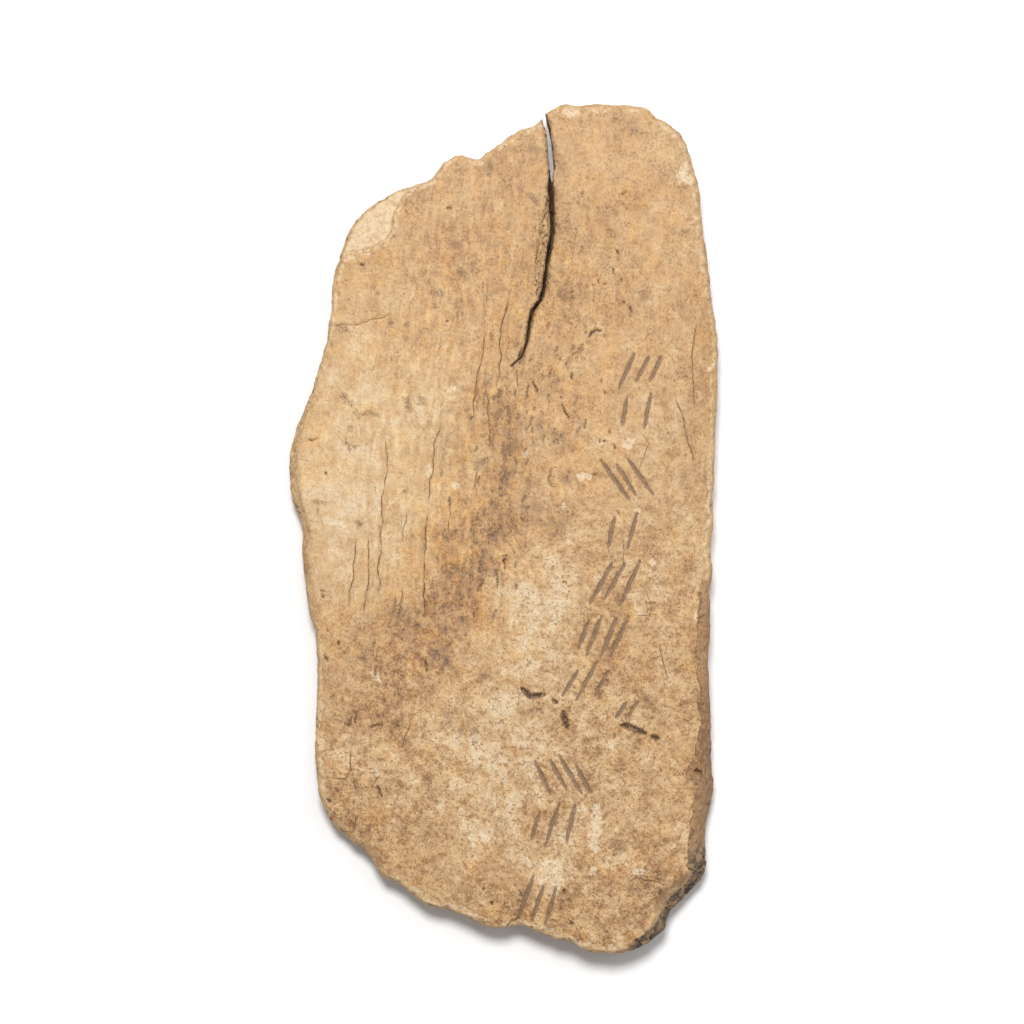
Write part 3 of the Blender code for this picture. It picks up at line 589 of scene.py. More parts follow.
# The scars, which lean another way to the right of and below SCAR_TURN.
SCAR_SEED = 11
SCAR_COUNT = 190
SCAR_LEAN = 14.0
SCAR_LEAN_BELOW = -48.0
SCAR_STRAY_LEAN = 14.0
SCAR_TURN = Vector((4.0, 10.0))
SCAR_STRAY = ((2.0, 5.0), (0.0, 3.0))
SCAR_HALF_LENGTH = (0.3, 1.2)
SCAR_HALF_WIDTH = (0.12, 0.24)
SCAR_BEND = 0.4


def heading_to(angle):
    """The direction that leans from the bone's length by an angle."""
    return Vector((math.sin(angle), math.cos(angle)))


def carved_strokes():
    """The strokes that stand in the inscription's place, each with its half width and its ends."""
    chance = random.Random(STROKE_SEED)
    strokes = []
    for head, foot, width, rows in STROKE_COLUMNS:
        row_height = (head[1] - foot[1]) / len(rows)
        for row, (count, lean) in enumerate(rows):
            row_middle = Vector(head).lerp(Vector(foot), (row + 0.5) / len(rows))
            for stroke in range(count):
                across = chance.uniform(-STROKE_STRAY_ACROSS, STROKE_STRAY_ACROSS)
                across += width * ((stroke + 0.5) / count - 0.5)
                along = chance.uniform(-STROKE_STRAY_ALONG, STROKE_STRAY_ALONG)
                length = row_height * chance.uniform(*STROKE_FILL)
                stray = chance.uniform(-STROKE_STRAY_LEAN, STROKE_STRAY_LEAN)
                middle = row_middle + Vector((across, along))
                half = heading_to(math.radians(lean + stray)) * length / 2
                strokes.append((STROKE_HALF_WIDTH, (tuple(middle + half), tuple(middle - half))))
    return strokes


def band_scars():
    """Short grey scars scattered in the band, each lying the way that the grain runs there."""
    chance = random.Random(SCAR_SEED)
    scars = []
    for _ in range(SCAR_COUNT):
        share = chance.uniform(0.0, len(BAND) - 1.001)
        first = Vector(BAND[int(share)])
        middle = first.lerp(Vector(BAND[int(share) + 1]), share % 1.0)
        middle += Vector([chance.gauss(*stray) for stray in SCAR_STRAY])
        lean = chance.gauss(SCAR_LEAN, SCAR_STRAY_LEAN)
        if middle.x > SCAR_TURN.x and middle.y < SCAR_TURN.y:
            lean = chance.gauss(SCAR_LEAN_BELOW, SCAR_STRAY_LEAN)
        half = heading_to(math.radians(lean)) * chance.uniform(*SCAR_HALF_LENGTH)
        bend = Vector((half.y, -half.x)) * chance.uniform(-SCAR_BEND, SCAR_BEND)
        path = (tuple(middle + half), tuple(middle + bend), tuple(middle - half))
        scars.append((chance.uniform(*SCAR_HALF_WIDTH), path))
    return scars


def hairlines(seed, count):
    """Fine scratches scattered over the whole face, most of them along the grain."""
    chance = random.Random(seed)
    left, right, low, high = HAIRLINE_AREA
    lines = []
    for _ in range(count):
        path = [Vector((chance.uniform(left, right), chance.uniform(low, high)))]
        heading = math.radians(chance.gauss(0.0, HAIRLINE_LEAN))
        for _ in range(HAIRLINE_STEPS):
            heading += chance.uniform(-HAIRLINE_BEND, HAIRLINE_BEND)
            path.append(path[-1] + heading_to(heading) * chance.uniform(*HAIRLINE_STEP))
        lines.append((chance.uniform(*HAIRLINE_WIDTH), [tuple(point) for point in path]))
    return lines


# ------------------------------------------------------------------------------------------------
# The bone's surface.

# How near, in metres, two vertices are the same.
MERGE = 3e-5
# Walls, undersides and the flat back, by the Z of their normals, and the back by its height too.
WALL_NORMAL = 0.6
UNDER_NORMAL = -0.2
FLAT_BACK = (0.02, -0.9)
# How far the short edges reach round a mark and round a hollow of the back.
MARK_MARGIN = 0.35
HOLLOW_SHAPE = (1.0, 1.5)
HOLLOW_REACH = 6.0
HOLLOW_EDGE = 0.9 * MM
# How coarse each round of splitting is, how much too long an edge is let be, and what is sharp.
REFINE_SCALES = (8.0, 4.0, 2.0, 1.0, 1.0)
LONG = 1.4
SHARP = math.radians(28.0)
# How far round a stroke or pit it's levelled, from which height on, and in how many rounds.
LEVEL_MARGIN = 0.45
LEVEL_FLOOR = 2.5
LEVEL_ROUNDS = 24
# How far round the cracks the surface stays crisp, and how wide the flake's border is.
KEPT_MARGIN = 0.5
FLAKE_HALF_WIDTH = 0.3


def places_of(bm):
    """Where each vertex is, in millimetres."""
    return np.array([vert.co[:] for vert in bm.verts]) / MM


def normals_of(bm):
    """Which way the surface faces at each vertex."""
    bm.normal_update()
    return np.array([vert.normal[:] for vert in bm.verts])


def check_closed(bm, what):
    """Raises an error if the surface has an open or a doubled edge."""
    if any(not edge.is_manifold for edge in bm.edges):
        raise RuntimeError(what + " isn't closed")


def wanted_edges(places, normals, fine_marks, settings):
    """The edge length that suits each vertex: short at marks, longer on the open face and back."""
    facing = normals[:, 2]
    open_edge = np.where(np.abs(facing) < WALL_NORMAL, settings.wall_edge, settings.face_edge)
    near_mark = mark_distance(places[:, :2], fine_marks)
    far = smooth_step(MARK_MARGIN, 3 * MARK_MARGIN, near_mark)
    upper_edge = settings.mark_edge + (open_edge - settings.mark_edge) * far
    wanted = np.where(facing > -WALL_NORMAL, upper_edge, settings.back_edge)
    for place in HOLLOW_PLACES:
        apart = np.linalg.norm((places[:, :2] - place) / HOLLOW_SHAPE, axis=1)
        hollow = (facing < UNDER_NORMAL) & (apart < HOLLOW_REACH)
        wanted[hollow] = np.minimum(wanted[hollow], HOLLOW_EDGE)
    return wanted


def smooth_some(bm, verts, rounds):
    """Smooths some of the surface's vertices, over and over."""
    for _ in range(rounds):
        bmesh.ops.smooth_vert(
            bm, verts=verts, factor=0.5, use_axis_x=True, use_axis_y=True, use_axis_z=True
        )


def refine(bm, fine_marks, kept_marks, level_marks, settings):
    """Splits long edges until each suits its place, and smooths the facets on the way down."""
    for scale in REFINE_SCALES:
        bm.verts.index_update()
        places, normals = places_of(bm), normals_of(bm)
        wanted = wanted_edges(places, normals, fine_marks, settings) * scale
        ends = np.array([[vert.index for vert in edge.verts] for edge in bm.edges])
        lengths = np.linalg.norm(places[ends[:, 0]] - places[ends[:, 1]], axis=1) * MM
        long = lengths > LONG * wanted[ends].mean(axis=1)
        bmesh.ops.subdivide_edges(
            bm,
            edges=[edge for edge, split in zip(bm.edges, long) if split],
            cuts=1,
            use_grid_fill=True,
            use_single_edge=True,
        )
        bmesh.ops.triangulate(bm, faces=[face for face in bm.faces if len(face.verts) > 3])
        flat = [edge for edge in bm.edges if edge.calc_face_angle() < SHARP]
        bmesh.ops.beautify_fill(bm, faces=bm.faces, edges=flat, method="AREA")
        level_carving(bm, level_marks)
        smooth_facets(bm, kept_marks, int(2 + scale / 2), keep_rims=scale > 1.0)


def level_carving(bm, marks):
    """Fills the carved strokes and pits level, so that they can be cut anew evenly."""
    places = places_of(bm)
    carved = (mark_distance(places[:, :2], marks) < LEVEL_MARGIN) & (places[:, 2] > LEVEL_FLOOR)
    smooth_some(bm, [vert for vert, chosen in zip(bm.verts, carved) if chosen], LEVEL_ROUNDS)


def smooth_facets(bm, kept_marks, rounds, keep_rims):
    """Smooths the surface, but for the carved and broken forms that are to stay crisp."""
    places, normals = places_of(bm), normals_of(bm)
    beside = mark_distance(places[:, :2], kept_marks)
    kept = (beside < KEPT_MARGIN) & (normals[:, 2] > -WALL_NORMAL)
    kept |= (places[:, 2] < FLAT_BACK[0]) & (normals[:, 2] < FLAT_BACK[1])
    for edge in bm.edges:
        if edge.calc_face_angle() > SHARP:
            for vert in edge.verts:
                kept[vert.index] |= keep_rims or normals[vert.index, 2] < UNDER_NORMAL
    free = [vert for vert, keep in zip(bm.verts, kept) if not keep]
    smooth_some(bm, free, rounds if keep_rims else 1)


def border_distance(places, normals):
    """Distance in the plane from each vertex to the walls round the bone, up to BORDER_REACH."""
    apart = mark_field(places[:, :2], GREAT_CRACK + CRACK_LIP)
    outer = (np.abs(normals[:, 2]) < 0.5) & (places[:, 2] > 3.0) & (apart >= MARK_REACH)
    walls = places[outer]
    tree = kdtree.KDTree(len(walls))
    for index, place in enumerate(walls):
        tree.insert((place[0], place[1], 0.0), index)
    tree.balance()
    gaps = [tree.find((place[0], place[1], 0.0))[2] for place in places]
    return np.minimum(gaps, BORDER_REACH)


# Where the surface counts as the face, as a side, as the carved top and as the back, by how far
# its normal points up or down.
FACE_NORMALS = (0.3, 0.8)
SIDE_NORMALS = (0.45, 0.75)
TOP_NORMALS = (0.0, 0.3)
BACK_NORMALS = (0.2, 0.7)

# Lumps: the height, the size, the noise's seed and its octaves.
FACE_LUMPS = (
    (0.10, 7.0, 1, 3), (0.05, 1.8, 2, 3), (0.03, 0.8, 3, 2), (0.05, (0.9, 7.0, 2.0), 4, 3),
)
BROKEN_LUMPS = ((0.2, 2.6, 8, 3), (0.16, (1.0, 2.2, 1.0), 9, 2))
# Fine wear: where it is, how deep it goes, and its noise's size and seed.
WEAR = (("porous", 0.18, 1.1, 5), ("pitted", 0.15, (0.6, 1.7, 1.0), 6))
WEAR_RANGE = (0.1, 0.5)
# Cuts: the mark, the depth, and how many half widths away the floor ends and the rim is.
CUTS = (
    ("stroke", STROKE_DEPTH, 0.35, 1.15), ("dark_mark", 0.34, 0.3, 1.4),
    ("grey_mark", 0.12, 0.6, 1.4), ("scar", 0.16, 0.5, 1.3),
)
CRACK_DEPTH = 0.16
CRACK_SLOPE = 2.4
SCORCH_SLOPE = (0.25, 1.15)
LAST_PIT_REACH = 5.0
# How deep or high the broken places are worn.
BORDER_CRUMBLE = 0.45
SPLIT_CHIPS = 0.4
LIP_HOLES = 0.4
CORNER_RIDGE = 0.35
CORNER_LUMPS = 0.3
CORNER_HOLES = 0.5
SPONGE_HOLES = 0.34
BACK_WEAR = 0.12


def lumps_over(places, lumps):
    """Several kinds of lumps, added up."""
    return sum(
        height * noise_over(places, size, seed, octaves) for height, size, seed, octaves in lumps
    )


def relief(places, normals, fields, settings):
    """How far weathering moves each vertex along its normal, in millimetres."""
    up = smooth_step(*FACE_NORMALS, normals[:, 2])
    under = smooth_step(*FACE_NORMALS, -normals[:, 2])
    side = fading(*SIDE_NORMALS, np.abs(normals[:, 2]))
    broken_face = fields["broken"] * up
    move = lumps_over(places, FACE_LUMPS)
    for name, depth, size, seed in WEAR:
        wear = smooth_step(*WEAR_RANGE, noise_over(places, size, seed, 2))
        move -= depth * fields[name] * wear
    for name, depth, core, rim in CUTS:
        move -= depth * fading(core, rim, fields[name])

    # The scorched pits, but for the last one, which the solid's own notch already shows.
    beside_last = np.linalg.norm(places[:, :2] - PITS[-1][1][1], axis=1)
    pit = fading(*SCORCH_SLOPE, fields["scorch"]) * (beside_last > LAST_PIT_REACH)
    move -= PIT_DEPTH * pit * (0.8 + 0.5 * noise_over(places, 0.9, 17, 2))
    slope = np.clip(1.0 - np.abs(fields["crack_offset"]) / CRACK_SLOPE, 0.0, 1.0)
    move -= CRACK_DEPTH * fields["crack_strength"] * slope
    crumbs = smooth_step(-0.1, 0.3, noise_over(places, 1.2, 7, 2))
    move -= BORDER_CRUMBLE * fading(0.3, 1.6, fields["border"]) * crumbs
    chips = smooth_step(0.0, 0.3, noise_over(places, 0.9, 18, 2))
    beside = smooth_step(0.7, 1.0, fields["depth"]) * fading(1.4, 2.4, fields["depth"])
    move -= SPLIT_CHIPS * beside * chips
    lip = fading(0.8, 1.3, fields["lip"])
    move -= LIP_HOLES * lip * holes_over(places, 0.9, 13, 0.2, 0.5)

    # The broken lower corner: a ridge along its border, and a rough, holed slope outside it.
    border, corner = fields["border"], fields["corner"]
    ridge = smooth_step(1.5, 2.0, border) * fading(2.4, 3.2, border)
    rough = corner * fading(1.4, 1.9, border)
    move += CORNER_RIDGE * corner * ridge * (0.6 + noise_over(places, 2.0, 14, 2))
    move += CORNER_LUMPS * rough * noise_over(places, 1.0, 15, 2)
    move -= CORNER_HOLES * rough * holes_over(places, 1.1, 16, 0.2, 0.45)
    move *= up

    # The broken sides, with holes in their spongy middle layer, and the worn back.
    move += np.maximum(side, broken_face) * lumps_over(places, BROKEN_LUMPS)
    spongy = np.maximum(fields["spongy"], 0.4 * broken_face)
    move -= SPONGE_HOLES * spongy * holes_over(places, 1.1, 10, 0.15, 0.45)
    move -= BACK_WEAR * under * smooth_step(-0.1, 0.6, noise_over(places, 3.4, 12))
    return move * settings.relief


def sway(places, reach, size, seed):
    """Small shifts to and fro in the plane, so that lines and marks look natural."""
    return reach * np.column_stack([noise_over(places, size, seed + axis, 2) for axis in (0, 1)])


def surface_fields(places, normals, border_gap):
    """What steers the colours and the relief at each vertex, by name."""
    flat = places[:, :2]
    swayed = flat + sway(places, 0.30, 2.4, 21) + sway(places, 0.12, 0.7, 23)
    top = smooth_step(*TOP_NORMALS, normals[:, 2])
    side = fading(*SIDE_NORMALS, np.abs(normals[:, 2]))
    off_top = (1.0 - top) * MARK_REACH
    fields = {
        "depth": mark_field(flat, GREAT_CRACK),
        "lip": mark_field(flat, CRACK_LIP),
        "wall": side,
        "back": smooth_step(*BACK_NORMALS, -normals[:, 2]),
        "border": border_gap,
    }
    for name, lines in (
        ("crack", CRACKS),
        ("hair", hairlines(*DARK_HAIRLINES)),
        ("graze", hairlines(*PALE_HAIRLINES) + list(SCRATCHES)),
    ):
        fields[name + "_offset"], strength = line_field(swayed, lines)
        fields[name + "_strength"] = strength * top
    for name, points, paths in (
        ("stroke", flat + sway(places, 0.16, 1.3, 25), carved_strokes()),
        ("scorch", flat, PITS),
        ("scar", swayed, band_scars()),
        ("dark_mark", swayed, DARK_MARKS),
        ("grey_mark", swayed, GREY_MARKS),
        ("brown_mark", swayed, BROWN_MARKS),
        ("pale_mark", swayed, PALE_MARKS),
    ):
        fields[name] = mark_field(points, paths) + off_top
    for name, patches in STEERING_PATCHES.items():
        fields[name] = patch_field(flat, patches)
    brown, pale, warm, cool = (patch_field(flat, patches) for patches in COLOUR_PATCHES.values())
    porous, grained = fields["porous"], fields["grained"]

    # How light the bone is (some patches add painted light and shade), how warm, and how grainy.
    streaks = noise_over(places, (1.6, 9.0, 3.0), 35, 2)
    clouds = lumps_over(places, ((0.22, 4.4, 32, 2), (0.26, 2.1, 33, 1)))
    tone = 0.605 + 0.35 * pale - 0.28 * brown + 0.12 * noise_over(places, 9.0, 31, 2)
    fields["tone"] = tone + (0.5 + 0.75 * porous) * clouds + 0.12 * grained * streaks
    tinge = lumps_over(places, ((1.0, 3.4, 36, 2), (0.5, 1.7, 37, 1)))
    fields["tinge"] = tinge + 1.2 * warm - cool + 0.5 * brown
    grit = 1.0 + 0.25 * porous - 0.3 * pale + 0.7 * noise_over(places, 3.0, 43, 2)
    fields["grit"] = np.clip(grit, 0.35, 1.7)

    # Stains, darker towards the bottom of the sides, and the sides' spongy middle layer.
    stain = (0.25 + 0.5 * porous + brown + 0.5 * side) * smooth_step(
        0.12, 0.5, noise_over(places, 2.2, 38)
    )
    fields["stain"] = np.minimum(stain + side * fading(0.2, 2.4, places[:, 2]), 1.0)
    layer = smooth_step(0.7, 1.8, places[:, 2]) * fading(4.4, 6.0, places[:, 2])
    sponge = 0.2 + 0.8 * smooth_step(-0.45, 0.1, noise_over(places, 4.0, 42, 2))
    fields["spongy"] = side * layer * sponge

    # The face's border: the flake, the slopes that broke away, and a wandering edge.
    outside = inside_outline(flat, FLAKE_BORDER + FLAKE_OUTSIDE)
    fields["flake"] = outside * top
    sloping = fading(0.70, 0.93, normals[:, 2]) * (border_gap < BORDER_REACH)
    uncarved = smooth_step(1.5, 2.5, mark_field(flat, carved_strokes() + list(PITS)))
    fields["broken"] = sloping * uncarved * top
    fields["edge"] = border_gap + lumps_over(places, ((0.8, 4.5, 40, 2), (0.5, 1.4, 41, 3)))
    return fields


# ------------------------------------------------------------------------------------------------
# Materials.

# The face's tones, from the darkest on, and the colours that aren't settings.
TONES = ((0.0, "stain"), (0.28, "brown"), (0.62, "bone"), (0.9, "pale"), (1.0, "chalk"))
WARM = (1.07, 0.93, 0.64, 1.0)
COOL = (0.96, 0.99, 1.08, 1.0)
RED_BROWN = (0.275, 0.120, 0.045, 1.0)
PORE_BROWN = (0.190, 0.080, 0.028, 1.0)
SCUFFED = (0.745, 0.600, 0.405, 1.0)
SPONGE_GREY = (0.150, 0.105, 0.070, 1.0)
RED_PAINT = (0.55, 0.03, 0.03, 1.0)
BLACK = (0.0, 0.0, 0.0, 1.0)
# How the grain and the nicks lean from the bone's length, in radians.
GRAIN_LEAN = 0.1
NICK_LEAN = 0.15
SLANTED_LEAN = -0.9
# How far the holes' radii vary, from which share on, and how strong and deep the bump is.
HOLE_GROWTH = (0.9, 0.55)
BUMP_STRENGTH = 0.8
BUMP_DISTANCE = 0.16 * MM


class NodeBench:
    """Adds nodes to a tree and joins them."""

    def __init__(self, tree):
        self.tree = tree

    def add(self, kind, inputs, **settings):
        """A node of a kind, with its inputs joined or set by name or number."""
        node = self.tree.nodes.new(kind)
        for name, value in settings.items():
            setattr(node, name, value)
        for key, value in inputs.items():
            self.feed(node.inputs[key], value)
        return node

    def feed(self, socket, value):
        """Joins a socket to another one, or sets it."""
        if isinstance(value, bpy.types.NodeSocket):
            self.tree.links.new(value, socket)
        else:
            socket.default_value = value

    def math(self, operation, *values, clamp=False):
        """One sum of the values."""
        inputs = dict(enumerate(values))
        return self.add("ShaderNodeMath", inputs, operation=operation, use_clamp=clamp).outputs[0]

    def rise(self, value, more, least):
        """Rises from least, where the value is 0, by more where it is 1."""
        return self.math("MULTIPLY_ADD", value, more, least)

    def swing(self, value, reach):
        """A noise value turned into a swing to either side of nothing."""
        return self.rise(value, reach, -reach / 2)

    def most(self, first, second):
        """The larger of two values."""
        return self.math("MAXIMUM", first, second)

    def times(self, *values):
        """All the values multiplied."""
        return functools.reduce(lambda first, second: self.math("MULTIPLY", first, second), values)

    def sum(self, *values):
        """All the values added up."""
        return functools.reduce(lambda first, second: self.math("ADD", first, second), values)

    def step(self, low, high, value, start=0.0, end=1.0):
        """Runs smoothly from start, where the value is low, to end, where it is high."""
        inputs = {0: value, 1: low, 2: high, 3: start, 4: end}
        return self.add("ShaderNodeMapRange", inputs, interpolation_type="SMOOTHSTEP").outputs[0]

    def fade(self, low, high, value):
        """Runs smoothly from 1, where the value is low, to 0, where it is high."""
        return self.step(low, high, value, 1.0, 0.0)

    def vector_math(self, operation, inputs):
        """One sum of vectors."""
        return self.add("ShaderNodeVectorMath", inputs, operation=operation).outputs

    def turn(self, vector, angle):
        """A vector turned about Z."""
        inputs = {"Vector": vector, "Angle": angle}
        return self.add("ShaderNodeVectorRotate", inputs, rotation_type="Z_AXIS").outputs[0]

    def mix(self, share, first, second, blend="MIX"):
        """A colour between two, or one laid over the other in another way."""
        inputs = {0: share, 6: first, 7: second}
        return self.add("ShaderNodeMix", inputs, data_type="RGBA", blend_type=blend).outputs[2]

    def attribute(self, name):
        """A number that is stored at each vertex."""
        return self.add("ShaderNodeAttribute", {}, attribute_name=name).outputs["Fac"]

    def group(self, tree, **inputs):
        """A node group, with its inputs named in small letters, and its first output."""
        node = self.add("ShaderNodeGroup", {}, node_tree=tree)
        for name, value in inputs.items():
            self.feed(node.inputs[name.capitalize()], value)
        return node.outputs[0]


def new_group(name, **inputs):
    """An empty node group, a bench for it, and its inputs' sockets by name."""
    tree = bpy.data.node_groups.new(name, "ShaderNodeTree")
    for label, value in inputs.items():
        kind = "NodeSocketVector" if value is None else "NodeSocketFloat"
        socket = tree.interface.new_socket(label, in_out="INPUT", socket_type=kind)
        if value is not None:
            socket.default_value = value
    entry = tree.nodes.new("NodeGroupInput")
    return tree, NodeBench(tree), {label: entry.outputs[label] for label in inputs}


def close_group(tree, label, value):
    """Gives a node group its output, a number."""
    tree.interface.new_socket(label, in_out="OUTPUT", socket_type="NodeSocketFloat")
    tree.links.new(value, tree.nodes.new("NodeGroupOutput").inputs[label])
    return tree


def scaled_place(bench, place, size):
    """The place, counted in a size that is in millimetres."""
    scale = bench.math("DIVIDE", 1.0 / MM, size)
    return bench.vector_math("SCALE", {0: place, "Scale": scale})[0]


def stretched(bench, place, stretch):
    """The place, drawn out along Y."""
    shrink = bench.math("DIVIDE", 1.0, stretch)
    scale = bench.add("ShaderNodeCombineXYZ", {"X": 1.0, "Y": shrink, "Z": 1.0})
    return bench.vector_math("MULTIPLY", {0: place, 1: scale.outputs[0]})[0]


def mottle_group():
    """Cloudy noise about 0.5."""
    tree, bench, sockets = new_group("Bone mottle", Place=None, Size=5.0, Detail=2.0)
    place = scaled_place(bench, sockets["Place"], sockets["Size"])
    inputs = {"Vector": place, "Scale": 1.0, "Detail": sockets["Detail"]}
    return close_group(tree, "Value", bench.add("ShaderNodeTexNoise", inputs).outputs[0])


def fibre_group():
    """Streaks along the bone, about 0.5."""
    tree, bench, sockets = new_group("Bone fibres", Place=None, Size=0.6, Stretch=5.0, Detail=2.0)
    place = scaled_place(bench, sockets["Place"], sockets["Size"])
    place = stretched(bench, place, sockets["Stretch"])
    inputs = {"Vector": place, "Scale": 1.0, "Detail": sockets["Detail"]}
    return close_group(tree, "Value", bench.add("ShaderNodeTexNoise", inputs).outputs[0])


def hole_group(name, dimensions):
    """Small holes in a share of cells, or ticks where Stretch is large. Shift bends them."""
    tree, bench, sockets = new_group(
        name, Place=None, Shift=None, Size=1.0, Lean=0.0, Bend=0.4, Radius=0.25, Share=0.6,
        Stretch=1.0,
    )
    turned = bench.turn(sockets["Place"], sockets["Lean"])
    place = scaled_place(bench, turned, sockets["Size"])
    shift = bench.vector_math("SCALE", {0: sockets["Shift"], "Scale": sockets["Bend"]})[0]
    bent = bench.vector_math("ADD", {0: shift, 1: place})[0]
    inputs = {"Vector": stretched(bench, bent, sockets["Stretch"]), "Scale": 1.0}
    cell = bench.add("ShaderNodeTexVoronoi", inputs, voronoi_dimensions=dimensions)
    chance = bench.add("ShaderNodeSeparateColor", {0: cell.outputs["Color"]})
    there = bench.math("LESS_THAN", chance.outputs[0], sockets["Share"])
    radius = bench.times(sockets["Radius"], bench.rise(chance.outputs[1], *HOLE_GROWTH))
    hole = bench.fade(bench.times(radius, 0.5), radius, cell.outputs["Distance"])
    return close_group(tree, "Mask", bench.times(hole, there))


def mark_group():
    """A ragged mark: 1 within it and 0 outside. Ratio counts its half widths from its middle."""
    tree, bench, sockets = new_group(
        "Bone mark", Ratio=4.0, Stray=0.5, Ragged=0.8, Core=0.7, Rim=1.2
    )
    stray = bench.math("SUBTRACT", sockets["Stray"], 0.5)
    ratio = bench.math("MULTIPLY_ADD", stray, sockets["Ragged"], sockets["Ratio"])
    return close_group(tree, "Mask", bench.fade(sockets["Core"], sockets["Rim"], ratio))


def line_group():
    """A thin line where Offset, in its half widths, is near 0, as strong as Strength says."""
    tree, bench, sockets = new_group("Bone line", Offset=4.0, Strength=0.0, Core=0.5, Rim=1.3)
    apart = bench.math("ABSOLUTE", sockets["Offset"])
    line = bench.fade(sockets["Core"], sockets["Rim"], apart)
    return close_group(tree, "Mask", bench.times(line, sockets["Strength"]))


class BoneBench(NodeBench):
    """A bench for old bone: its noises, its kinds of mark and its colours."""

    def __init__(self, tree, settings):
        super().__init__(tree)
        self.settings = settings
        self.mark, self.line = mark_group(), line_group()
        mottle, fibres = mottle_group(), fibre_group()
        self.place = self.add("ShaderNodeTexCoord", {}).outputs["Object"]
        inputs = {"Vector": self.place, "Axis": TURN_AXIS, "Angle": TURN_ANGLE}
        turned = self.add("ShaderNodeVectorRotate", inputs).outputs[0]
        leaned = self.turn(self.place, GRAIN_LEAN)
        self.middling = self.group(mottle, place=turned, size=1.2, detail=3.0)
        self.speckle = self.group(mottle, place=turned, size=0.75, detail=2.0)
        self.fine = self.group(fibres, place=leaned, size=0.34, stretch=1.5, detail=2.0)
        self.streaks = self.group(fibres, place=leaned, size=0.75, stretch=5.0, detail=1.0)
        inputs = {0: self.middling, 1: self.fine, 2: self.streaks}
        self.shift = self.add("ShaderNodeCombineXYZ", inputs).outputs[0]
        self.face_holes = hole_group("Bone face holes", "2D")
        self.cells = self.scatter(hole_group("Bone holes", "3D"), 0.85, 0.42, 0.85, bend=1.3)
        self.porous, self.dark_wall = self.attribute("porous"), self.attribute("dark_wall")
        self.edge = self.sum(self.attribute("edge"), self.swing(self.fine, 0.9))
        dots = self.step(0.60, 0.67, self.fine)
        self.dots = self.times(dots, self.rise(self.porous, 0.65, 0.35))

    def named(self, colour):
        """A colour, or the one that the settings keep under its name."""
        return getattr(self.settings, colour + "_colour") if isinstance(colour, str) else colour

    def mix(self, share, first, second, blend="MIX"):
        """As on any bench, but the colours may be names."""
        return super().mix(share, self.named(first), self.named(second), blend)

    def stain(self, colour, *stains):
        """The colour with stains over it, each with its share, its strength and its colour."""
        for share, strength, over in stains:
            colour = self.mix(self.times(share, strength), colour, over)
        return colour

    def scatter(self, kind, size, radius, share, **shape):
        """Small holes or ticks of a kind."""
        shape.update(size=size, radius=radius, share=share)
        return self.group(kind, place=self.place, shift=self.shift, **shape)

    def marked(self, name, ragged, core, rim, stray=None):
        """Marks of a kind, with a ragged rim."""
        ratio, stray = self.attribute(name), stray or self.fine
        return self.group(self.mark, ratio=ratio, stray=stray, ragged=ragged, core=core, rim=rim)

    def ruled(self, name, core, rim, strength=None):
        """Lines of a kind."""
        offset = self.attribute(name + "_offset")
        strength = strength or self.attribute(name + "_strength")
        return self.group(self.line, offset=offset, strength=strength, core=core, rim=rim)

    def face(self):
        """The plain face: one tone from stained to chalky, made of clouds from wide to fine."""
        coarse, grained = self.rise(self.porous, 0.6, 0.6), self.attribute("grained")
        tone = self.sum(
            self.attribute("tone"),
            self.times(self.swing(self.middling, 0.85), coarse),
            self.times(self.swing(self.fine, 1.2), self.attribute("grit")),
            self.times(self.swing(self.streaks, 0.7), grained),
        )
        tones = self.add("ShaderNodeValToRGB", {0: tone})
        while len(tones.color_ramp.elements) < len(TONES):
            tones.color_ramp.elements.new(1.0)
        for element, (position, name) in zip(tones.color_ramp.elements, TONES):
            element.position, element.color = position, self.named(name)
        streaks = self.times(self.swing(self.streaks, 2.2), grained)
        tinge = self.sum(self.attribute("tinge"), self.swing(self.middling, 1.2), streaks)
        colour = tones.outputs["Color"]
        for share, filter_colour in ((0.6, WARM), (-0.5, COOL)):
            share = self.math("MULTIPLY", tinge, share, clamp=True)
            colour = self.mix(share, colour, filter_colour, "MULTIPLY")
        height = self.sum(self.times(self.middling, 2.2), self.times(self.fine, 1.4))
        height = self.sum(self.times(height, coarse), self.times(self.streaks, grained, 1.4))
        return colour, tinge, height

    def soiled(self, colour):
        """Stains, specks, pores and nicks over the face."""
        porous, speckle = self.porous, self.speckle
        pitted, slanted = self.attribute("pitted"), self.attribute("slanted")
        turn = self.math("GREATER_THAN", slanted, 0.4)
        lean = self.rise(turn, SLANTED_LEAN - NICK_LEAN, NICK_LEAN)
        pores = self.scatter(self.face_holes, 0.95, 0.17, 0.34)
        nicks = self.scatter(self.face_holes, 0.64, 0.18, 0.24, lean=lean, stretch=4.0)
        nicks = self.times(nicks, self.sum(self.most(pitted, slanted), 0.12))
        stains = self.times(self.attribute("stain"), self.step(0.44, 0.60, speckle))
        specks = self.times(self.step(0.585, 0.66, speckle), self.rise(porous, 0.7, 0.25))
        flecks = self.times(self.step(0.43, 0.36, speckle), self.rise(porous, 0.5, 0.3))
        return self.stain(
            colour,
            (stains, 0.62, RED_BROWN),
            (specks, 0.68, RED_BROWN),
            (self.dots, 0.8, RED_BROWN),
            (flecks, 0.4, "chalk"),
            (self.times(pores, self.rise(porous, 0.8, 0.15)), 0.85, PORE_BROWN),
            (nicks, 0.5, "stain"),
        )

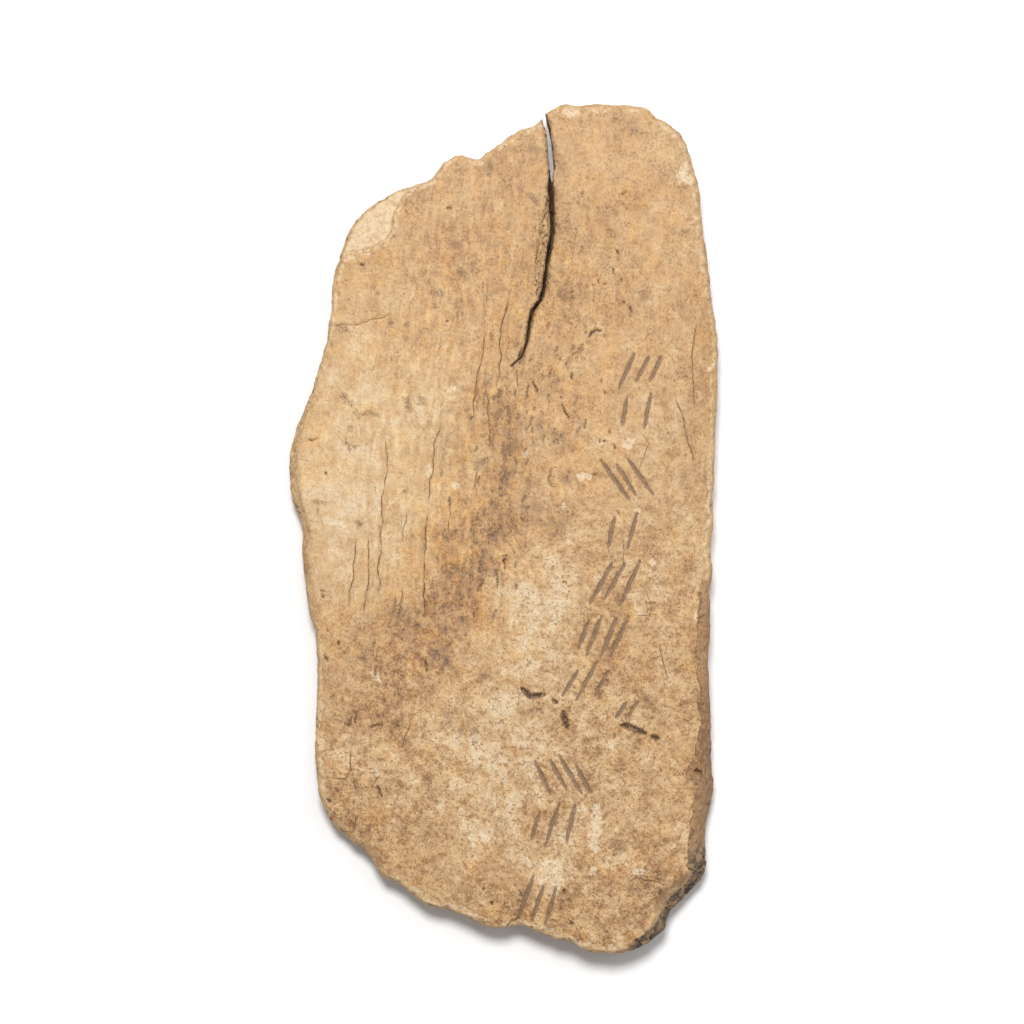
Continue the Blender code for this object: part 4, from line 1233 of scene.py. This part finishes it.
    def marked_face(self, colour):
        """The marks that have places of their own. Also the cracks and scars, for the bump."""
        marked, times = self.marked, self.times
        middling, speckle, fine = self.middling, self.speckle, self.fine
        scars = marked("scar", 1.8, 0.4, 1.3)
        strokes = times(marked("stroke", 1.2, 0.8, 1.25), self.step(0.3, 0.55, middling, 0.65))
        opened = self.rise(self.step(0.36, 0.56, middling), 0.6, 0.4)
        opened = times(opened, self.attribute("crack_strength"))
        cracks = self.ruled("crack", 0.1, 0.8, times(opened, self.step(0.34, 0.54, fine, 0.35)))
        pale = times(marked("pale_mark", 3.0, 0.5, 1.5, speckle), self.step(0.36, 0.54, fine, 0.3))
        brown = times(marked("brown_mark", 4.0, 0.4, 2.0, speckle), self.step(0.38, 0.56, fine))
        grey = times(marked("grey_mark", 4.0, 0.2, 2.0, speckle), self.step(0.34, 0.56, fine))
        colour = self.stain(
            colour,
            (self.ruled("graze", 0.5, 1.5), 0.24, SCUFFED),
            (self.ruled("hair", 0.3, 1.2), 0.6, "scar"),
            (pale, 0.85, SCUFFED),
            (brown, 0.7, "stain"),
            (grey, 0.62, "scar"),
            (marked("scar", 2.0, 0.8, 3.6, speckle), 0.28, "scar"),
            (scars, 0.6, "scar"),
            (marked("scar", 3.0, -0.2, 0.6), 0.6, "stain"),
            (strokes, 0.82, "scar"),
            (marked("stroke", 2.4, 0.0, 0.8, speckle), 0.3, "stain"),
            (self.ruled("crack", 0.6, 3.0, opened), 0.35, "brown"),
            # Dark lines in the cracks: painted shade.
            (cracks, 0.8, "dark"),
            (marked("dark_mark", 1.5, 0.8, 2.2), 0.35, "brown"),
            # Dark cores in the pits and holes: painted shade.
            (marked("dark_mark", 2.4, 0.4, 1.0), 0.8, "dark"),
            (marked("scorch", 1.4, 0.9, 1.5), 0.6, "stain"),
            (marked("scorch", 3.4, 0.25, 0.8), 0.85, "dark"),
        )
        return colour, cracks, scars

    def sponge(self):
        """Broken sides: spongy and chalky, darker to the lower right: soil and painted shade."""
        middling, speckle, fine = self.middling, self.speckle, self.fine
        soil_and_shade = self.mix(self.step(0.36, 0.62, self.streaks), "scar", RED_BROWN)
        soil_and_shade = self.stain(soil_and_shade, (self.step(0.52, 0.6, middling), 0.5, "bone"))
        plain = self.step(0.38, 0.62, middling)
        return self.stain(
            self.mix(plain, "pale", "bone"),
            (self.step(0.5, 0.64, speckle), 0.6, "brown"),
            (self.dark_wall, 1.0, soil_and_shade),
            (self.attribute("stain"), 0.55, "brown"),
            (self.step(0.54, 0.66, fine), 0.5, "stain"),
            # The holes are darkened: painted shade.
            (self.times(self.cells, self.attribute("spongy")), 0.75, "dark"),
        )

    def bordered(self, colour):
        """The flake, the chipped edge, the broken sides and the rough lower corner."""
        edge, times, step = self.edge, self.times, self.step
        middling, speckle, fine = self.middling, self.speckle, self.fine
        flake = times(self.attribute("flake"), step(0.7, 0.5, fine, 0.55, 0.95))
        flaked = self.stain(
            "chalk",
            (step(0.50, 0.62, speckle), 0.6, "bone"),
            (self.dots, 0.6, "brown"),
            (step(0.52, 0.66, middling), 0.5, "pale"),
        )
        colour = self.mix(flake, colour, flaked)
        chips = times(self.fade(0.7, 1.0, edge), step(0.42, 0.56, speckle))
        colour = self.stain(colour, (chips, 0.75, "chalk"))
        bevel = times(self.fade(1.6, 1.8, edge), step(0.3, 0.6, self.dark_wall))
        broken = times(self.most(self.attribute("broken"), self.attribute("wall")), 0.9)
        broken = self.most(broken, bevel)
        # A dark line where the face turns down to the bevel: painted shade in the crease.
        seam_shade = times(bevel, step(1.2, 1.5, edge), step(0.4, 0.52, speckle))
        corner = step(0.3, 0.6, self.attribute("corner"))
        ragged = times(corner, self.fade(1.7, 1.9, edge))
        crumbs = (step(0.45, 0.6, middling), 0.55, "bone")
        ridge = times(corner, step(1.8, 2.0, edge), self.fade(2.5, 3.0, edge))
        colour = self.stain(
            self.mix(broken, colour, self.sponge()),
            (seam_shade, 0.75, "stain"),
            (ragged, 1.0, self.stain(SPONGE_GREY, crumbs)),
            (times(ridge, step(0.35, 0.55, fine)), 0.6, "pale"),
            # The holes are darkened: painted shade.
            (times(self.cells, ragged), 0.85, "dark"),
        )
        return colour, broken, ragged

    def split(self, colour):
        """The great crack: darkened beside it, painted shade within, with a crumbling left lip."""
        lip = self.marked("lip", 1.6, 0.8, 1.2)
        beside = self.marked("depth", 5.0, 0.7, 2.8, self.speckle)
        colour = self.stain(
            colour,
            (lip, 0.3, "chalk"),
            # Dark holes in the lip: painted shade.
            (self.times(self.cells, lip), 0.85, "stain"),
            (beside, 0.68, "stain"),
            # Dark core where the crack is deep: painted shade.
            (self.marked("depth", 3.0, 0.4, 1.2), 0.42, "dark"),
        )
        return colour, lip

    def backed(self, colour):
        """The back: plainer, stained more evenly, and scorched in its hollows."""
        middling, step = self.middling, self.step
        plain = step(0.3, 0.8, self.attribute("tone"))
        burnt = self.times(self.attribute("burn"), step(0.32, 0.56, middling, 0.55))
        plain = self.stain(
            self.mix(plain, "brown", "bone"),
            (step(0.5, 0.7, self.fine), 0.3, "pale"),
            (self.times(self.cells, step(0.45, 0.6, middling)), 0.5, "stain"),
            (step(0.5, 0.66, self.streaks), 0.4, "brown"),
            (burnt, 0.85, "dark"),
        )
        return self.mix(self.attribute("back"), colour, plain)

    def speck(self):
        """The one speck of red paint."""
        level = self.vector_math("MULTIPLY", {0: self.place, 1: (1.0, 1.0, 0.0)})[0]
        apart = self.vector_math("DISTANCE", {0: level, 1: RED_SPECK})["Value"]
        return self.fade(0.6 * RED_SPECK_SIZE, RED_SPECK_SIZE, apart)


def bone_material(settings):
    """Old bone: stained, pitted and cracked on its face, spongy on its broken sides."""
    material = bpy.data.materials.new("weathered_bone")
    material.use_nodes = True
    bench = BoneBench(material.node_tree, settings)
    colour, tinge, height = bench.face()
    colour, cracks, scars = bench.marked_face(bench.soiled(colour))
    colour, broken, ragged = bench.bordered(colour)
    colour, lip = bench.split(colour)
    colour = bench.stain(bench.backed(colour), (bench.speck(), 0.85, RED_PAINT))
    roughness = bench.sum(
        settings.roughness,
        bench.swing(bench.fine, 0.3),
        bench.times(broken, 0.2),
        bench.times(tinge, -0.06),
    )
    holed = bench.most(bench.attribute("spongy"), bench.most(ragged, lip))
    for mask, depth in ((cracks, 1.6), (scars, 0.9), (bench.times(bench.cells, holed), 1.8)):
        height = bench.math("SUBTRACT", height, bench.times(mask, depth))
    inputs = {"Strength": BUMP_STRENGTH, "Distance": BUMP_DISTANCE, "Height": height}
    shader = bench.tree.nodes["Principled BSDF"].inputs
    bench.feed(shader["Base Color"], colour)
    bench.feed(shader["Roughness"], bench.math("ADD", roughness, 0.0, clamp=True))
    bench.feed(shader["Normal"], bench.add("ShaderNodeBump", inputs).outputs[0])
    return material


def floor_material(colour):
    """Pale paper, with the faintest mottling."""
    material = bpy.data.materials.new("studio_floor")
    material.use_nodes = True
    bench = NodeBench(material.node_tree)
    place = bench.add("ShaderNodeTexCoord", {}).outputs["Object"]
    inputs = {"Vector": place, "Scale": FLOOR_CLOUDS, "Detail": 1.0}
    cloud = bench.add("ShaderNodeTexNoise", inputs).outputs[0]
    shader = bench.tree.nodes["Principled BSDF"].inputs
    bench.feed(shader["Base Color"], bench.mix(cloud, colour, bench.mix(0.03, colour, BLACK)))
    bench.feed(shader["Roughness"], FLOOR_ROUGHNESS)
    return material


# ------------------------------------------------------------------------------------------------
# The operators, one for the bone and one for the stage.


class ORACLEBONE_OT_weather(bpy.types.Operator):
    """Build the weathered bone over the plain solid"""

    bl_idname = "oracle_bone.weather"
    bl_label = "Weather the Bone"
    bl_options = {"REGISTER", "UNDO"}

    def execute(self, context):
        settings = context.scene.oracle_bone
        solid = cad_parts["bone"]
        bm = bmesh.new()
        bm.from_mesh(solid.data)
        bm.transform(solid.matrix_world)
        bmesh.ops.remove_doubles(bm, verts=bm.verts, dist=MERGE)
        check_closed(bm, "the merged bone")
        levelled = tuple(carved_strokes()) + PITS[:-1]
        split = GREAT_CRACK + CRACK_LIP + PITS[-1:]
        kept = split + ((FLAKE_HALF_WIDTH, FLAKE_BORDER),)
        refine(bm, levelled + split + CRACKS + DARK_MARKS, kept, levelled, settings)

        places, normals = places_of(bm), normals_of(bm)
        fields = surface_fields(places, normals, border_distance(places, normals))
        moves = relief(places, normals, fields, settings) * MM
        for vert, normal, move in zip(bm.verts, normals, moves):
            vert.co += Vector(normal) * float(move)
            vert.co.z = max(vert.co.z, 0.0)
        check_closed(bm, "the weathered bone")

        mesh = bpy.data.meshes.new("bone_relief")
        bm.to_mesh(mesh)
        bm.free()
        mesh.shade_smooth()
        for name, values in fields.items():
            layer = mesh.attributes.new(name, "FLOAT", "POINT")
            layer.data.foreach_set("value", values.astype(np.float32))
        mesh.materials.append(bone_material(settings))
        piece = bpy.data.objects.new("bone_relief", mesh)
        context.scene.collection.objects.link(piece)
        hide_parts("bone")
        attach(piece, "root")
        print("bone_relief:", len(mesh.polygons), "triangles")
        return {"FINISHED"}


# The stage, in metres.
FLOOR_SIZE = 4.0
FLOOR_GAP = 0.02 * MM
FLOOR_CLOUDS = 60.0
FLOOR_ROUGHNESS = 0.9
KEY_PLACE = (-0.06, 0.5, 1.14)
KEY_SIZE = 0.36
FILL_PLACE = (0.5, 0.36, 0.92)
FILL_SIZE = 0.8
VIEW_MIDDLE = (1.78 * MM, 3.19 * MM)
FACE_HEIGHT = 8.0 * MM


class ORACLEBONE_OT_stage(bpy.types.Operator):
    """Set the floor, the lights and the camera"""

    bl_idname = "oracle_bone.stage"
    bl_label = "Set the Stage"
    bl_options = {"REGISTER", "UNDO"}

    def execute(self, context):
        settings = context.scene.oracle_stage
        scene = context.scene
        bm = bmesh.new()
        below = Matrix.Translation((0.0, 0.0, -FLOOR_GAP))
        bmesh.ops.create_grid(bm, x_segments=8, y_segments=8, size=FLOOR_SIZE / 2, matrix=below)
        mesh = bpy.data.meshes.new("studio_floor")
        bm.to_mesh(mesh)
        bm.free()
        mesh.materials.append(floor_material(settings.floor_colour))
        floor = bpy.data.objects.new("studio_floor", mesh)
        scene.collection.objects.link(floor)
        floor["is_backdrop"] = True

        for name, place, size, power in (
            ("key_light", KEY_PLACE, KEY_SIZE, settings.key_power),
            ("fill_light", FILL_PLACE, FILL_SIZE, settings.fill_power),
        ):
            data = bpy.data.lights.new(name, "AREA")
            data.shape = "DISK"
            data.size = size
            data.energy = power
            lamp = bpy.data.objects.new(name, data)
            lamp.location = place
            lamp.rotation_euler = Vector(place).to_track_quat("Z", "Y").to_euler()
            scene.collection.objects.link(lamp)

        world = bpy.data.worlds.new("studio_room")
        world.use_nodes = True
        room = world.node_tree.nodes["Background"]
        room.inputs["Color"].default_value = (1.0, 1.0, 1.0, 1.0)
        room.inputs["Strength"].default_value = settings.sky_strength
        scene.world = world
        scene.view_settings.view_transform = "Standard"

        data = bpy.data.cameras.new("camera")
        data.lens = settings.lens
        data.dof.use_dof = False
        camera = bpy.data.objects.new("camera", data)
        distance = settings.view_width * settings.lens / data.sensor_width
        camera.location = (*VIEW_MIDDLE, FACE_HEIGHT + distance)
        scene.collection.objects.link(camera)
        scene.camera = camera
        return {"FINISHED"}


class ORACLEBONE_PT_panel(bpy.types.Panel):
    """Lists the two steps and their settings."""

    bl_idname = "ORACLEBONE_PT_panel"
    bl_label = "Oracle Bone"
    bl_space_type = "VIEW_3D"
    bl_region_type = "UI"
    bl_category = "Oracle Bone"

    def draw(self, context):
        for operator, settings in (
            (ORACLEBONE_OT_weather, context.scene.oracle_bone),
            (ORACLEBONE_OT_stage, context.scene.oracle_stage),
        ):
            box = self.layout.box()
            for name in settings.bl_rna.properties.keys():
                if name not in ("rna_type", "name"):
                    box.prop(settings, name)
            box.operator(operator.bl_idname)


CLASSES = (
    BoneSettings,
    StageSettings,
    ORACLEBONE_OT_weather,
    ORACLEBONE_OT_stage,
    ORACLEBONE_PT_panel,
)


def register():
    for cls in CLASSES:
        bpy.utils.register_class(cls)
    bpy.types.Scene.oracle_bone = PointerProperty(type=BoneSettings)
    bpy.types.Scene.oracle_stage = PointerProperty(type=StageSettings)


def unregister():
    del bpy.types.Scene.oracle_stage
    del bpy.types.Scene.oracle_bone
    for cls in reversed(CLASSES):
        bpy.utils.unregister_class(cls)


def main():
    """Builds everything in order."""
    register()
    bpy.ops.oracle_bone.weather()
    bpy.ops.oracle_bone.stage()
    sizes = {"frame": frame_box, "scene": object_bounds()}
    sizes = {name: [list(map(float, corner)) for corner in box] for name, box in sizes.items()}


if __name__ == "__main__":
    main()
